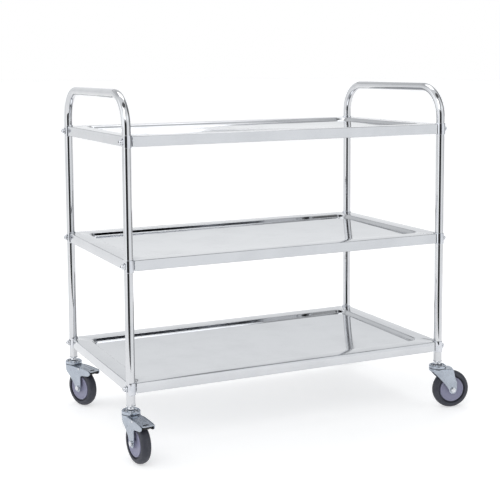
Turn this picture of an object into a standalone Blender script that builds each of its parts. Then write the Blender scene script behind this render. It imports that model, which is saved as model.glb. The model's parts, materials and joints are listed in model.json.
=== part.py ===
"""Three-tier food service trolley: two bent tube end frames, three tray shelves, four swivel casters.

Metres, +Z up. The origin is at floor level, at the middle of the wheels' footprint with the casters parked
as modelled. +X runs along the trolley, towards the end without brakes, and -Y is the side it is served from.
"""

import math

import bmesh
import bpy
from mathutils import Matrix, Vector

MM = 0.001
GAP = 0.3 * MM  # between pieces that touch

# Overall layout
LEG_SPACING_X = 890 * MM
LEG_SPACING_Y = 475 * MM
HANDLE_TOP = 888 * MM
SHELF_HEIGHTS = {"top": 779 * MM, "middle": 483 * MM, "bottom": 185 * MM}  # rim's upper face

# End frame tube
TUBE_RADIUS = 11 * MM
TUBE_WALL = 1.2 * MM
HANDLE_BEND = 80 * MM  # centreline radius
LEG_ABOVE_HEAD = 11.5 * MM  # from the swivel head up to the tube's foot
BEND_STEPS = 5
HOLE_SIDES = 8

# Shelf, pressed from sheet
SHEET = 1 * MM
SKIRT_HEIGHT = 26 * MM
SKIRT_BEYOND_LEG = 6 * MM  # skirt's outer face, outside the leg's axis
RIM_WIDTH = 41 * MM
RECESS_DEPTH = 9 * MM
RECESS_SLOPE = 7 * MM
RECESS_CORNER = 28 * MM
RETURN_LIP = 10 * MM
FOLD_RADIUS = 2 * MM
CORNER_STEPS = 3
NOTCH_SIDES = 24
FLANGE_SHEET = 1.4 * MM

# Corner saddle and bolt
SADDLE_WALL = 2 * MM
SADDLE_HEIGHT = 30 * MM
SADDLE_MOUTH = 7.7 * MM  # half width of the mouth at mid height
SADDLE_MOUTH_FLARE = 3.6 * MM  # what it widens by at the top and bottom edges
BOLT_RADIUS = 3 * MM
BOLT_WASHER_RADIUS = 8.5 * MM
BOLT_WASHER = 1.6 * MM
BOLT_NUT_RADIUS = 6.2 * MM
BOLT_NUT = 3.4 * MM
BOLT_DOME = 3.6 * MM
BOLT_BEYOND_FLANGE = 7 * MM

# Caster
WHEEL_RADIUS = 51 * MM
WHEEL_SIDES = 20
TYRE_WIDTH = 26 * MM
CORE_RADIUS = 34 * MM
HUB_RADIUS = 10 * MM
HUB_BEYOND_TYRE = 2.5 * MM  # on each side
AXLE_RADIUS = 4 * MM
AXLE_HEAD_RADIUS = 7 * MM
AXLE_HEAD = 5 * MM
TRAIL = 38 * MM
HUB_CLEARANCE = 0.5 * MM  # to each cheek
FORK_SHEET = 2.5 * MM
AXLE_EYE = 11 * MM  # radius of the cheek round the axle
WHEEL_CLEARANCE = 2 * MM  # between tyre and crown
HEAD_RADIUS = 23 * MM
CROWN_HEIGHT = 7 * MM
RACE_GAP = 1.5 * MM  # the dark line between crown and swivel head
HEAD_HEIGHT = 8 * MM
STEM_RADIUS = 5 * MM
KINGPIN_RADIUS = 6 * MM
STEM_IN_LEG = 24 * MM
INSERT_IN_LEG = 26 * MM
INSERT_FLANGE = 3 * MM

# Brake
PIN_RADIUS = 2 * MM
PIN_BEHIND_AXLE = 6 * MM
PEDAL_SHEET = 2 * MM
PEDAL_SIDE_GAP = 0.7 * MM  # between the pedal and each cheek
PEDAL_LENGTH = 66 * MM
PEDAL_TOE = 6 * MM
PEDAL_SLOPE = math.radians(-4.4)
PEDAL_ABOVE_PIN = 0.5 * MM  # clear air between pin and plate
EAR_SHEET = 1.6 * MM
WING_BEYOND_AXLE = 52.5 * MM
WING_HEIGHT = 15 * MM
PAD_CLEARANCE = 4 * MM
PAD_WIDTH = 20 * MM

# The direction that each caster trails in, in degrees from +X, and whether it has a brake
CORNERS = {
    "front_left": (-1, -1, -84.0, True),
    "rear_left": (-1, 1, -68.0, True),
    "front_right": (1, -1, -12.0, False),
    "rear_right": (1, 1, 84.0, False),
}

# What follows from the sizes above
BORE = TUBE_RADIUS + GAP  # saddle's inside
SADDLE_RADIUS = BORE + SADDLE_WALL
NOTCH_RADIUS = SADDLE_RADIUS + 1.2 * MM
BOLT_HOLE = BOLT_RADIUS + GAP
SHELF_HALF_X = LEG_SPACING_X / 2 + SKIRT_BEYOND_LEG
SHELF_HALF_Y = LEG_SPACING_Y / 2 + SKIRT_BEYOND_LEG
BOLT_REACH = TUBE_RADIUS + GAP + BOLT_WASHER + BOLT_NUT + BOLT_DOME  # dome's tip from the leg's axis
PARKED = math.radians(CORNERS["front_right"][2])
CASTER_REACH = (TRAIL + WHEEL_RADIUS) * math.cos(PARKED) + TYRE_WIDTH / 2 * abs(math.sin(PARKED))
MIDDLE_X = (BOLT_REACH - CASTER_REACH) / 2  # the frame's middle, so that the footprint is centred

HUB_WIDTH = TYRE_WIDTH + 2 * HUB_BEYOND_TYRE
FORK_INSIDE = HUB_WIDTH + 2 * HUB_CLEARANCE
CROWN_UNDER = 2 * WHEEL_RADIUS + WHEEL_CLEARANCE
CROWN_TOP = CROWN_UNDER + CROWN_HEIGHT
HEAD_UNDER = CROWN_TOP + RACE_GAP
HEAD_TOP = HEAD_UNDER + HEAD_HEIGHT
TUBE_BOTTOM = HEAD_TOP + LEG_ABOVE_HEAD
CHEEK_FACE = FORK_INSIDE / 2 + FORK_SHEET  # outer face of a cheek
PIN_X = TRAIL + PIN_BEHIND_AXLE
PIN_Z = CROWN_UNDER + PIN_RADIUS
PEDAL_WIDTH = FORK_INSIDE - 2 * PEDAL_SIDE_GAP
PEDAL_HEEL = HEAD_RADIUS + 2.5 * MM
PEDAL_END = PEDAL_HEEL + PEDAL_LENGTH  # where the raised toe begins

# The single objects that repeated pieces take their meshes from
PATTERNS = ("saddle", "bolt", "insert", "stem", "fork_braked", "fork_plain")
PATTERNS += ("axle", "core", "tyre", "pedal", "pin", "pad")


# ---------------------------------------------------------------- helpers


def material(name, colour, roughness, metallic):
    """A Principled material."""
    made = bpy.data.materials.new(name)
    made.use_nodes = True
    shader = made.node_tree.nodes["Principled BSDF"]
    shader.inputs["Base Color"].default_value = (*colour, 1)
    shader.inputs["Roughness"].default_value = roughness
    shader.inputs["Metallic"].default_value = metallic
    return made


def arc(centre_x, centre_z, radius, start, end, steps):
    """Points along an arc, from start to end degrees."""
    turns = [math.radians(start + (end - start) * i / steps) for i in range(steps + 1)]
    return [(centre_x + radius * math.cos(t), centre_z + radius * math.sin(t)) for t in turns]


def bezier(start, bend, end, steps):
    """Points of a quadratic curve pulled towards bend, without its last one."""
    a, b, c = Vector(start), Vector(bend), Vector(end)
    shares = [i / steps for i in range(steps)]
    return [tuple(a * (1 - t) ** 2 + b * 2 * t * (1 - t) + c * t * t) for t in shares]


class Workshop:
    """Makes objects and files them as parts or as hidden cutters."""

    def __init__(self, name):
        self.parts = bpy.data.collections.new(name)
        self.cutters = bpy.data.collections.new(f"{name}_cutters")
        for collection in (self.parts, self.cutters):
            bpy.context.scene.collection.children.link(collection)

    def add(self, name, data, finish=None, parent=None):
        """An object in the parts collection."""
        made = bpy.data.objects.new(name, data)
        self.parts.objects.link(made)
        made.parent = parent
        if finish and data:
            data.materials.clear()
            data.materials.append(finish)
        return made

    def hide(self, obj):
        """Makes obj a cutter, which isn't a part."""
        for collection in list(obj.users_collection):
            collection.objects.unlink(obj)
        self.cutters.objects.link(obj)
        obj.hide_render = True
        obj.display_type = "WIRE"
        return obj

    def cylinders(self, name, rods, axis, segments=20):
        """A hidden mesh of rods, each (centre, radius, length), along axis X, Y or Z."""
        quarter = math.pi / 2
        turn = {"X": Matrix.Rotation(quarter, 4, "Y"), "Y": Matrix.Rotation(quarter, 4, "X"), "Z": Matrix()}
        work = bmesh.new()
        for centre, radius, length in rods:
            bmesh.ops.create_cone(
                work,
                cap_ends=True,
                segments=segments,
                radius1=radius,
                radius2=radius,
                depth=length,
                matrix=Matrix.Translation(centre) @ turn[axis],
            )
        return self.hide(self.from_bmesh(name, work))

    def box(self, name, low, high):
        """A hidden box between two corners."""
        low, high = Vector(low), Vector(high)
        work = bmesh.new()
        size = Matrix.Diagonal((*(high - low), 1))
        bmesh.ops.create_cube(work, size=1, matrix=Matrix.Translation((low + high) / 2) @ size)
        return self.hide(self.from_bmesh(name, work))

    def from_bmesh(self, name, work):
        """An object from a bmesh, which is freed."""
        mesh = bpy.data.meshes.new(name)
        work.to_mesh(mesh)
        work.free()
        return self.add(name, mesh)

    def settled(self, obj):
        """obj with its modifiers applied, welded: what it shows, as a plain mesh in its place."""
        bpy.context.view_layer.update()
        shown = obj.evaluated_get(bpy.context.evaluated_depsgraph_get())
        mesh = bpy.data.meshes.new_from_object(shown)
        mesh.transform(obj.matrix_world)
        work = bmesh.new()
        work.from_mesh(mesh)
        bmesh.ops.remove_doubles(work, verts=work.verts, dist=0.00001)
        work.to_mesh(mesh)
        work.free()
        name = obj.name
        bpy.data.objects.remove(obj)
        mesh.name = name
        return self.add(name, mesh)

    def turned(self, name, profile, steps):
        """A profile of (radius, height) points turned round Z; it runs down its outer side."""
        closed = min(radius for radius, _ in profile) > 0
        work = bmesh.new()
        points = [work.verts.new((radius, 0, height)) for radius, height in profile]
        for a, b in zip(points, points[1:] + points[:1] if closed else points[1:]):
            work.edges.new((a, b))
        made = self.from_bmesh(name, work)
        screw = made.modifiers.new("turn", "SCREW")
        screw.axis = "Z"
        screw.steps = screw.render_steps = steps
        screw.use_merge_vertices = True
        screw.merge_threshold = 0.00005
        return self.settled(made)

    def plate(self, name, outline, thickness):
        """A flat outline of (x, z) points, thickness thick, standing in the XZ plane."""
        curve = bpy.data.curves.new(name, "CURVE")
        curve.dimensions = "2D"
        curve.fill_mode = "BOTH"
        curve.extrude = thickness / 2
        spline = curve.splines.new("POLY")
        spline.points.add(len(outline) - 1)
        for point, (x, z) in zip(spline.points, outline):
            point.co = (x, z, 0, 1)
        spline.use_cyclic_u = True
        made = self.add(name, curve)
        made.rotation_euler = (math.pi / 2, 0, 0)
        return self.settled(made)

    def boolean(self, obj, other, operation):
        """Cuts or joins obj with other, which becomes hidden."""
        modifier = obj.modifiers.new(operation.lower(), "BOOLEAN")
        modifier.operation = operation
        modifier.object = self.hide(other)
        return obj

    def finished(self, obj, finish, angle=35):
        """obj as a plain mesh with its finish, shaded smooth up to angle degrees."""
        made = self.settled(obj)
        made.data.materials.append(finish)
        made.data.shade_smooth()
        made.data.set_sharp_from_angle(angle=math.radians(angle))
        return made


# ---------------------------------------------------------------- end frames


def leg_position(side_x, side_y):
    """Where a leg's axis stands."""
    return Vector((MIDDLE_X + side_x * LEG_SPACING_X / 2, side_y * LEG_SPACING_Y / 2, 0))


def bolt_height(rim):
    """Height of a shelf's bolts, at the middle of its skirt."""
    return rim - SKIRT_HEIGHT / 2


def end_frame(shop, name, side_x, finish):
    """One tube bent into two legs and a push handle, drilled for the shelf bolts."""
    top = HANDLE_TOP - TUBE_RADIUS - HANDLE_BEND
    reach = LEG_SPACING_Y / 2 - HANDLE_BEND
    path = [(-LEG_SPACING_Y / 2, TUBE_BOTTOM)]
    path += arc(-reach, top, HANDLE_BEND, 180, 90, BEND_STEPS)
    path += arc(reach, top, HANDLE_BEND, 90, 0, BEND_STEPS)
    path += [(LEG_SPACING_Y / 2, TUBE_BOTTOM)]

    curve = bpy.data.curves.new(name, "CURVE")
    curve.dimensions = "3D"
    curve.twist_mode = "MINIMUM"
    curve.bevel_depth = TUBE_RADIUS
    curve.bevel_resolution = 4
    spline = curve.splines.new("POLY")
    spline.points.add(len(path) - 1)
    for point, (y, z) in zip(spline.points, path):
        point.co = (0, y, z, 1)
    tube = shop.settled(shop.add(name, curve))
    tube.location.x = leg_position(side_x, 1).x
    wall = tube.modifiers.new("wall", "SOLIDIFY")
    wall.thickness = TUBE_WALL
    wall.offset = -1

    holes = [
        (leg_position(side_x, side_y) + Vector((0, 0, bolt_height(height))), BOLT_HOLE, 4 * TUBE_RADIUS)
        for side_y in (-1, 1)
        for height in SHELF_HEIGHTS.values()
    ]
    shop.boolean(tube, shop.cylinders(f"{name}_holes", holes, "X", HOLE_SIDES), "DIFFERENCE")
    return shop.finished(tube, finish)


# ---------------------------------------------------------------- shelves


def rounded_loop(half_x, half_y, radius, z):
    """Points round a rectangle with rounded corners."""
    loop = []
    for side_x, side_y, start in ((1, 1, 0), (-1, 1, 90), (-1, -1, 180), (1, -1, 270)):
        centre = (side_x * (half_x - radius), side_y * (half_y - radius))
        loop += [(x, y, z) for x, y in arc(*centre, radius, start, start + 90, CORNER_STEPS)]
    return loop


def tray_surface(shop, name):
    """The shelf's outer skin: recessed deck, flat rim, skirt and return lip."""
    steps = (  # how far inside the skirt, corner radius, height below the rim
        (RIM_WIDTH + RECESS_SLOPE, RECESS_CORNER - RECESS_SLOPE, -RECESS_DEPTH),
        (RIM_WIDTH + 2 * MM, RECESS_CORNER - 2 * MM, -SHEET),
        (RIM_WIDTH, RECESS_CORNER, 0),
        (FOLD_RADIUS / 2, FOLD_RADIUS, 0),
        (0, FOLD_RADIUS, -FOLD_RADIUS / 2),
        (0, FOLD_RADIUS, -SKIRT_HEIGHT),
        (RETURN_LIP, FOLD_RADIUS, -SKIRT_HEIGHT),
    )
    work = bmesh.new()
    rings = []
    for inside, radius, z in steps:
        loop = rounded_loop(SHELF_HALF_X - inside, SHELF_HALF_Y - inside, radius, z)
        rings.append([work.verts.new(point) for point in loop])
    work.faces.new(rings[0])
    for inner, outer in zip(rings, rings[1:]):
        for i in range(len(inner)):
            work.faces.new((inner[i - 1], outer[i - 1], outer[i], inner[i]))
    skin = shop.from_bmesh(name, work)
    sheet = skin.modifiers.new("sheet", "SOLIDIFY")
    sheet.thickness = SHEET
    sheet.offset = -1
    sheet.use_even_offset = True
    return skin


def shelf(shop, name, height, finish):
    """A tray with a concave flange in each corner, where the leg's saddle seats, drilled for its bolt."""
    tray = tray_surface(shop, name)
    corners = [Vector((x * LEG_SPACING_X / 2, y * LEG_SPACING_Y / 2, 0)) for x in (-1, 1) for y in (-1, 1)]
    middle = Vector((0, 0, -SKIRT_HEIGHT / 2))
    tall = 2 * SKIRT_HEIGHT
    half_wall = FLANGE_SHEET / 2
    notches = [(c + middle, NOTCH_RADIUS + half_wall, tall) for c in corners]
    shop.boolean(tray, shop.cylinders(f"{name}_notches", notches, "Z", NOTCH_SIDES), "DIFFERENCE")

    inset = 0.2 * MM
    flange_height = SKIRT_HEIGHT - 2 * inset
    outer = [(c + middle, NOTCH_RADIUS + 2 * half_wall, flange_height) for c in corners]
    inner = [(c + middle, NOTCH_RADIUS, tall) for c in corners]
    flanges = shop.cylinders(f"{name}_flanges", outer, "Z", NOTCH_SIDES)
    shop.boolean(flanges, shop.cylinders(f"{name}_flange_bores", inner, "Z", NOTCH_SIDES), "DIFFERENCE")
    half_x, half_y = SHELF_HALF_X - inset, SHELF_HALF_Y - inset
    inside = shop.box(f"{name}_inside", (-half_x, -half_y, -tall), (half_x, half_y, tall))
    shop.boolean(flanges, inside, "INTERSECT")
    shop.boolean(tray, flanges, "UNION")

    reach = NOTCH_RADIUS + 4 * half_wall
    holes = [(c + middle, BOLT_HOLE, 2 * reach) for c in corners]
    shop.boolean(tray, shop.cylinders(f"{name}_holes", holes, "X", HOLE_SIDES), "DIFFERENCE")
    made = shop.finished(tray, finish)
    made.location = (MIDDLE_X, 0, height)
    return made


# ---------------------------------------------------------------- corner saddle and bolt


def saddle_mesh(shop, finish):
    """A C-shaped saddle round a leg at X = 0, open towards -X, its tips rounded; drilled on its +X side."""
    half = SADDLE_HEIGHT / 2
    profile = [(BORE, half), (SADDLE_RADIUS, half), (SADDLE_RADIUS, -half), (BORE, -half)]
    ring = shop.turned("saddle", profile, 16)
    shares = [i / 2 - 1 for i in range(5)]
    tall = 1.1 * half
    side = [(SADDLE_MOUTH + SADDLE_MOUTH_FLARE * share * share, tall * share) for share in shares]
    mouth = shop.plate("saddle_mouth", side + [(-x, z) for x, z in reversed(side)], 2 * SADDLE_RADIUS)
    mouth.rotation_euler = (0, 0, math.pi / 2)
    mouth.location = (-SADDLE_RADIUS, 0, 0)
    shop.boolean(ring, mouth, "DIFFERENCE")
    hole = [((SADDLE_RADIUS, 0, 0), BOLT_HOLE, 2 * SADDLE_RADIUS)]
    shop.boolean(ring, shop.cylinders("saddle_hole", hole, "X", HOLE_SIDES), "DIFFERENCE")
    return shop.finished(ring, finish).data


def bolt_mesh(shop, finish):
    """A bolt along X with its washer and domed cap at -X, as one turned solid."""
    seat = TUBE_RADIUS + GAP
    nut = seat + BOLT_WASHER
    dome = nut + BOLT_NUT
    tip = NOTCH_RADIUS + BOLT_BEYOND_FLANGE
    profile = [(0, dome + BOLT_DOME)]
    profile += [(BOLT_NUT_RADIUS * math.sin(t), dome + BOLT_DOME * math.cos(t)) for t in (0.7, math.pi / 2)]
    profile += [
        (BOLT_NUT_RADIUS, nut),
        (BOLT_WASHER_RADIUS, nut),
        (BOLT_WASHER_RADIUS, seat),
        (BOLT_RADIUS, seat),
        (BOLT_RADIUS, -tip),
        (0, -tip),
    ]
    bolt = shop.turned("bolt", profile, HOLE_SIDES)
    bolt.rotation_euler = (0, -math.pi / 2, 0)
    return shop.finished(bolt, finish).data


def shelf_corners(shop, chrome):
    """A saddle and a bolt where each shelf meets each leg."""
    saddle = saddle_mesh(shop, chrome)
    bolt = bolt_mesh(shop, chrome)
    for level, height in SHELF_HEIGHTS.items():
        for corner, (side_x, side_y, _, _) in CORNERS.items():
            for kind, mesh in (("saddle", saddle), ("cap_bolt", bolt)):
                made = shop.add(f"{kind}_{level}_{corner}", mesh)
                made.location = leg_position(side_x, side_y) + Vector((0, 0, bolt_height(height)))
                made.rotation_euler.z = 0 if side_x < 0 else math.pi


# ---------------------------------------------------------------- casters


def insert_mesh(shop, finish):
    """The threaded plug in the foot of a leg."""
    bore = STEM_RADIUS + GAP
    plug = TUBE_RADIUS - TUBE_WALL - 2 * GAP
    under_tube = TUBE_BOTTOM - GAP
    under = under_tube - INSERT_FLANGE
    profile = [
        (bore, TUBE_BOTTOM + INSERT_IN_LEG),
        (plug, TUBE_BOTTOM + INSERT_IN_LEG),
        (plug, under_tube),
        (TUBE_RADIUS + 0.8 * MM, under_tube),
        (TUBE_RADIUS + 0.8 * MM, under + 1 * MM),
        (TUBE_RADIUS - 0.5 * MM, under),
        (bore, under),
    ]
    return shop.finished(shop.turned("insert", profile, 12), finish).data


def stem_mesh(shop, finish):
    """The stem with its lock nut, the swivel head that it is riveted to, and the kingpin below."""
    nut_top = TUBE_BOTTOM - INSERT_FLANGE - 2 * GAP
    rivet = CROWN_UNDER - GAP
    profile = [
        (0, TUBE_BOTTOM + STEM_IN_LEG),
        (STEM_RADIUS, TUBE_BOTTOM + STEM_IN_LEG),
        (STEM_RADIUS, nut_top),
        (8.5 * MM, nut_top),
        (8.5 * MM, HEAD_TOP),
        (HEAD_RADIUS - 3 * MM, HEAD_TOP - 0.5 * MM),
        (HEAD_RADIUS, HEAD_TOP - 3 * MM),
        (HEAD_RADIUS, HEAD_UNDER),
        (KINGPIN_RADIUS, HEAD_UNDER),
        (KINGPIN_RADIUS, rivet),
        (KINGPIN_RADIUS + 3 * MM, rivet),
        (0, rivet - 1.5 * MM),
    ]
    return shop.finished(shop.turned("stem", profile, 16), finish).data


def cheek_outline(braked):
    """A fork cheek's outline in (x, z), from the crown's front down round the axle and up its back."""
    front = -19 * MM
    eye_front = (TRAIL - AXLE_EYE, WHEEL_RADIUS)
    eye_rear = (TRAIL + AXLE_EYE + 1 * MM, WHEEL_RADIUS + 15 * MM)
    outline = [(front, CROWN_UNDER + 5 * MM)]
    outline += bezier((front, CROWN_UNDER - 4 * MM), (-6 * MM, WHEEL_RADIUS + 23 * MM), eye_front, 3)
    outline += arc(TRAIL, WHEEL_RADIUS, AXLE_EYE, 180, 360, 6)
    if braked:
        top = CROWN_UNDER + 6 * MM
        low, end = top - WING_HEIGHT, TRAIL + WING_BEYOND_AXLE
        outline += bezier(eye_rear, (TRAIL + 8 * MM, low - 7 * MM), (TRAIL + 18 * MM, low - 6 * MM), 3)
        outline += [
            (TRAIL + 18 * MM, low - 6 * MM),
            (end - 8 * MM, low - 2.5 * MM),
            (end - 2 * MM, low + 0.5 * MM),
            (end, low + 5 * MM),
            (end - 1 * MM, top - 4.5 * MM),
            (end - 5 * MM, top - 3.2 * MM),
            (TRAIL + 15 * MM, top - 0.5 * MM),
            (HEAD_RADIUS - 1 * MM, top),
        ]
    else:
        top = (TRAIL + 2 * MM, CROWN_UNDER + 3 * MM)
        outline += bezier(eye_rear, (TRAIL + 14 * MM, WHEEL_RADIUS + 43 * MM), top, 3)
        outline += [top]
    return outline


def fork_mesh(shop, braked, finish):
    """The swivelling fork: a round crown, a bridge behind it and two cheeks."""
    name = "fork_braked" if braked else "fork_plain"
    bore = KINGPIN_RADIUS + GAP
    pocket = CROWN_TOP - 3 * MM
    profile = [
        (bore, pocket),
        (HEAD_RADIUS - 5 * MM, pocket),
        (HEAD_RADIUS - 4 * MM, CROWN_TOP),
        (HEAD_RADIUS, CROWN_TOP),
        (HEAD_RADIUS - 1 * MM, CROWN_UNDER),
        (bore, CROWN_UNDER),
    ]
    fork = shop.turned(name, profile, 16)
    bridge_back = HEAD_RADIUS + 1 * MM if braked else TRAIL + 1 * MM
    bridge = shop.box(
        f"{name}_bridge",
        (-17 * MM, -CHEEK_FACE + 0.5 * MM, CROWN_UNDER + 0.1 * MM),
        (bridge_back, CHEEK_FACE - 0.5 * MM, CROWN_UNDER + FORK_SHEET),
    )
    rod = [((0, 0, CROWN_UNDER), bore, 20 * MM)]
    shop.boolean(bridge, shop.cylinders(f"{name}_kingpin_hole", rod, "Z", 16), "DIFFERENCE")
    shop.boolean(fork, bridge, "UNION")
    for side in (-1, 1):
        cheek = shop.plate(f"{name}_cheek_{side}", cheek_outline(braked), FORK_SHEET)
        cheek.location.y = side * (CHEEK_FACE - FORK_SHEET / 2)
        shop.boolean(fork, cheek, "UNION")
    wide = 3 * FORK_INSIDE
    holes = [((TRAIL, 0, WHEEL_RADIUS), AXLE_RADIUS + GAP, wide)]
    if braked:
        holes += [((PIN_X, 0, PIN_Z), PIN_RADIUS + GAP, wide)]
    shop.boolean(fork, shop.cylinders(f"{name}_holes", holes, "Y", 10), "DIFFERENCE")
    return shop.finished(fork, finish).data


def axle_mesh(shop, finish):
    """The axle bolt with its head and nut, turned round Z."""
    seat = CHEEK_FACE + GAP
    end = seat + AXLE_HEAD
    profile = [
        (0, end),
        (AXLE_HEAD_RADIUS - 1 * MM, end),
        (AXLE_HEAD_RADIUS, seat),
        (AXLE_RADIUS, seat),
        (AXLE_RADIUS, -seat),
        (AXLE_HEAD_RADIUS, -seat),
        (AXLE_HEAD_RADIUS - 1 * MM, -end),
        (0, -end),
    ]
    return shop.finished(shop.turned("axle", profile, 10), finish).data


def core_mesh(shop, finish):
    """The moulded wheel core: hub, web and the rib that the tyre grips."""
    bore = AXLE_RADIUS + GAP
    hub, face, rib = HUB_WIDTH / 2, TYRE_WIDTH / 2 - 1.2 * MM, TYRE_WIDTH / 4
    half = [
        (bore, hub),
        (HUB_RADIUS, hub),
        (HUB_RADIUS + 1 * MM, face - 1 * MM),
        (CORE_RADIUS, face),
        (CORE_RADIUS, rib),
        (CORE_RADIUS + 3 * MM, rib),
    ]
    profile = half + [(radius, -height) for radius, height in reversed(half)]
    return shop.finished(shop.turned("core", profile, WHEEL_SIDES), finish).data


def tyre_mesh(shop, finish):
    """The soft tyre, with a groove round the core."""
    inner, side = CORE_RADIUS + GAP, TYRE_WIDTH / 2
    rib = TYRE_WIDTH / 4 + GAP
    half = [
        (inner + 3 * MM, rib),
        (inner, rib),
        (inner, side - 3 * MM),
        (inner + 3 * MM, side),
        (WHEEL_RADIUS - 4 * MM, side - 1.5 * MM),
        (WHEEL_RADIUS, side - 8 * MM),
    ]
    profile = half + [(radius, -height) for radius, height in reversed(half)]
    return shop.finished(shop.turned("tyre", profile, WHEEL_SIDES), finish).data


def pedal_top(x):
    """Height of the pedal plate's upper face at x."""
    return PIN_Z + PIN_RADIUS + PEDAL_ABOVE_PIN + PEDAL_SHEET + math.tan(PEDAL_SLOPE) * (x - PIN_X)


def pedal_under(x):
    """Height of the pedal plate's lower face at x."""
    return pedal_top(x) - PEDAL_SHEET


def pedal_mesh(shop, finish):
    """The brake pedal: a sloping plate with a raised toe, and two ears on the pin."""
    toe_x, toe_z = PEDAL_END + 0.8 * PEDAL_TOE, pedal_top(PEDAL_END) + 0.2 * PEDAL_TOE
    line = [(PEDAL_HEEL, pedal_top(PEDAL_HEEL)), (PEDAL_END, pedal_top(PEDAL_END)), (toe_x, toe_z)]
    under = [(x, z - PEDAL_SHEET) for x, z in reversed(line)]
    pedal = shop.plate("pedal", line + under, PEDAL_WIDTH)

    low = PIN_Z - 4 * MM
    x0, x1 = PIN_X - 9 * MM, PIN_X + 10 * MM
    sunk = 0.5 * MM
    outline = [(x0, pedal_under(x0) + sunk), (x1, pedal_under(x1) + sunk)]
    outline += [(x1, PIN_Z), (PIN_X + 3 * MM, low), (PIN_X - 3 * MM, low), (x0, PIN_Z + 1 * MM)]
    for side in (-1, 1):
        ear = shop.plate(f"pedal_ear_{side}", outline, EAR_SHEET)
        ear.location.y = side * (PEDAL_WIDTH / 2 - GAP - EAR_SHEET / 2)
        shop.boolean(pedal, ear, "UNION")
    hole = [((PIN_X, 0, PIN_Z), PIN_RADIUS + GAP, PEDAL_WIDTH)]
    shop.boolean(pedal, shop.cylinders("pedal_pin_hole", hole, "Y", HOLE_SIDES), "DIFFERENCE")
    slot = ((PEDAL_END - 11 * MM, -10 * MM, CROWN_UNDER - 5 * MM), (PEDAL_END - 5 * MM, 5 * MM, HEAD_TOP))
    shop.boolean(pedal, shop.box("pedal_slot", *slot), "DIFFERENCE")
    return shop.finished(pedal, finish).data


def pin_mesh(shop, finish):
    """The pedal's pivot pin, headed outside both cheeks, turned round Z."""
    seat, head = CHEEK_FACE + GAP, 1.2 * MM
    big = PIN_RADIUS + 1.2 * MM
    profile = [(0, seat + head), (big, seat + head), (big, seat), (PIN_RADIUS, seat)]
    profile += [(PIN_RADIUS, -seat), (big, -seat), (big, -seat - head), (0, -seat - head)]
    return shop.finished(shop.turned("pin", profile, 8), finish).data


def pad_mesh(shop, finish):
    """The rubber pad under the pedal, hollowed to the tyre's curve, with a tongue out to the toe."""
    reach = WHEEL_RADIUS + PAD_CLEARANCE
    under = arc(TRAIL, WHEEL_RADIUS, reach, 64, 48, 4)
    front, back, tongue = under[0][0], PEDAL_END + 1 * MM, 4 * MM
    top = [(x, pedal_under(x) - GAP) for x in (back, front)]
    outline = under + [(back, top[0][1] - tongue)] + top
    return shop.finished(shop.plate("pad", outline, PAD_WIDTH), finish).data


def casters(shop, finishes):
    """Four casters, each on an empty on its swivel axis, with empties on its axle and its pedal's pin."""
    zinc, chrome, core_grey, tyre_grey, black, nylon = finishes
    insert, stem = insert_mesh(shop, nylon), stem_mesh(shop, zinc)
    forks = {braked: fork_mesh(shop, braked, zinc) for braked in (True, False)}
    axle, core, tyre = axle_mesh(shop, chrome), core_mesh(shop, core_grey), tyre_mesh(shop, tyre_grey)
    pedal, pin, pad = pedal_mesh(shop, zinc), pin_mesh(shop, chrome), pad_mesh(shop, black)
    for corner, (side_x, side_y, trail_angle, braked) in CORNERS.items():
        swivel = shop.add(f"swivel_axis_{corner}", None)
        swivel.location = leg_position(side_x, side_y)
        swivel.rotation_euler.z = math.radians(trail_angle)
        shop.add(f"leg_insert_{corner}", insert, parent=swivel)
        shop.add(f"caster_stem_{corner}", stem, parent=swivel)
        shop.add(f"caster_fork_{corner}", forks[braked], parent=swivel)
        wheel = shop.add(f"wheel_axis_{corner}", None, parent=swivel)
        wheel.location = (TRAIL, 0, WHEEL_RADIUS)
        wheel.rotation_euler.x = math.pi / 2
        shop.add(f"caster_axle_{corner}", axle, parent=wheel)
        shop.add(f"wheel_core_{corner}", core, parent=wheel)
        shop.add(f"tyre_{corner}", tyre, parent=wheel)
        if braked:
            hinge = shop.add(f"pedal_axis_{corner}", None, parent=swivel)
            hinge.location = (PIN_X, 0, PIN_Z)
            shop.add(f"brake_pin_{corner}", pin, parent=hinge).rotation_euler.x = math.pi / 2
            for kind, mesh in (("brake_pedal", pedal), ("brake_pad", pad)):
                made = shop.add(f"{kind}_{corner}", mesh, parent=hinge)
                made.location = (-PIN_X, 0, -PIN_Z)


def drop_patterns(shop):
    """Removes the single objects whose meshes the repeated pieces share."""
    for obj in list(shop.parts.objects):
        if obj.name in PATTERNS:
            bpy.data.objects.remove(obj)


def main():
    """Builds the trolley."""
    for obj in list(bpy.data.objects):
        bpy.data.objects.remove(obj)
    shop = Workshop("food_trolley")
    steel = material("polished_steel", (0.78, 0.79, 0.81), 0.15, 1.0)
    chrome = material("chrome", (0.82, 0.83, 0.85), 0.1, 1.0)
    zinc = material("zinc_plate", (0.62, 0.66, 0.72), 0.3, 1.0)
    core_grey = material("core_grey", (0.36, 0.36, 0.42), 0.45, 0.0)
    tyre_grey = material("tyre_grey", (0.1, 0.1, 0.12), 0.6, 0.0)
    black = material("black_rubber", (0.02, 0.02, 0.02), 0.7, 0.0)
    nylon = material("nylon", (0.6, 0.6, 0.62), 0.4, 0.0)
    for side, side_x in (("left", -1), ("right", 1)):
        end_frame(shop, f"end_frame_{side}", side_x, steel)
    for level, height in SHELF_HEIGHTS.items():
        shelf(shop, f"shelf_{level}", height, steel)
    shelf_corners(shop, chrome)
    casters(shop, (zinc, chrome, core_grey, tyre_grey, black, nylon))
    drop_patterns(shop)


main()
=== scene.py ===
"""Looks of a three-tier food service trolley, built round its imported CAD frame.

Every visible piece is modelled here with bmesh operators, in metres and in place, and rides on a body of
the frame.
"""

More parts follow.
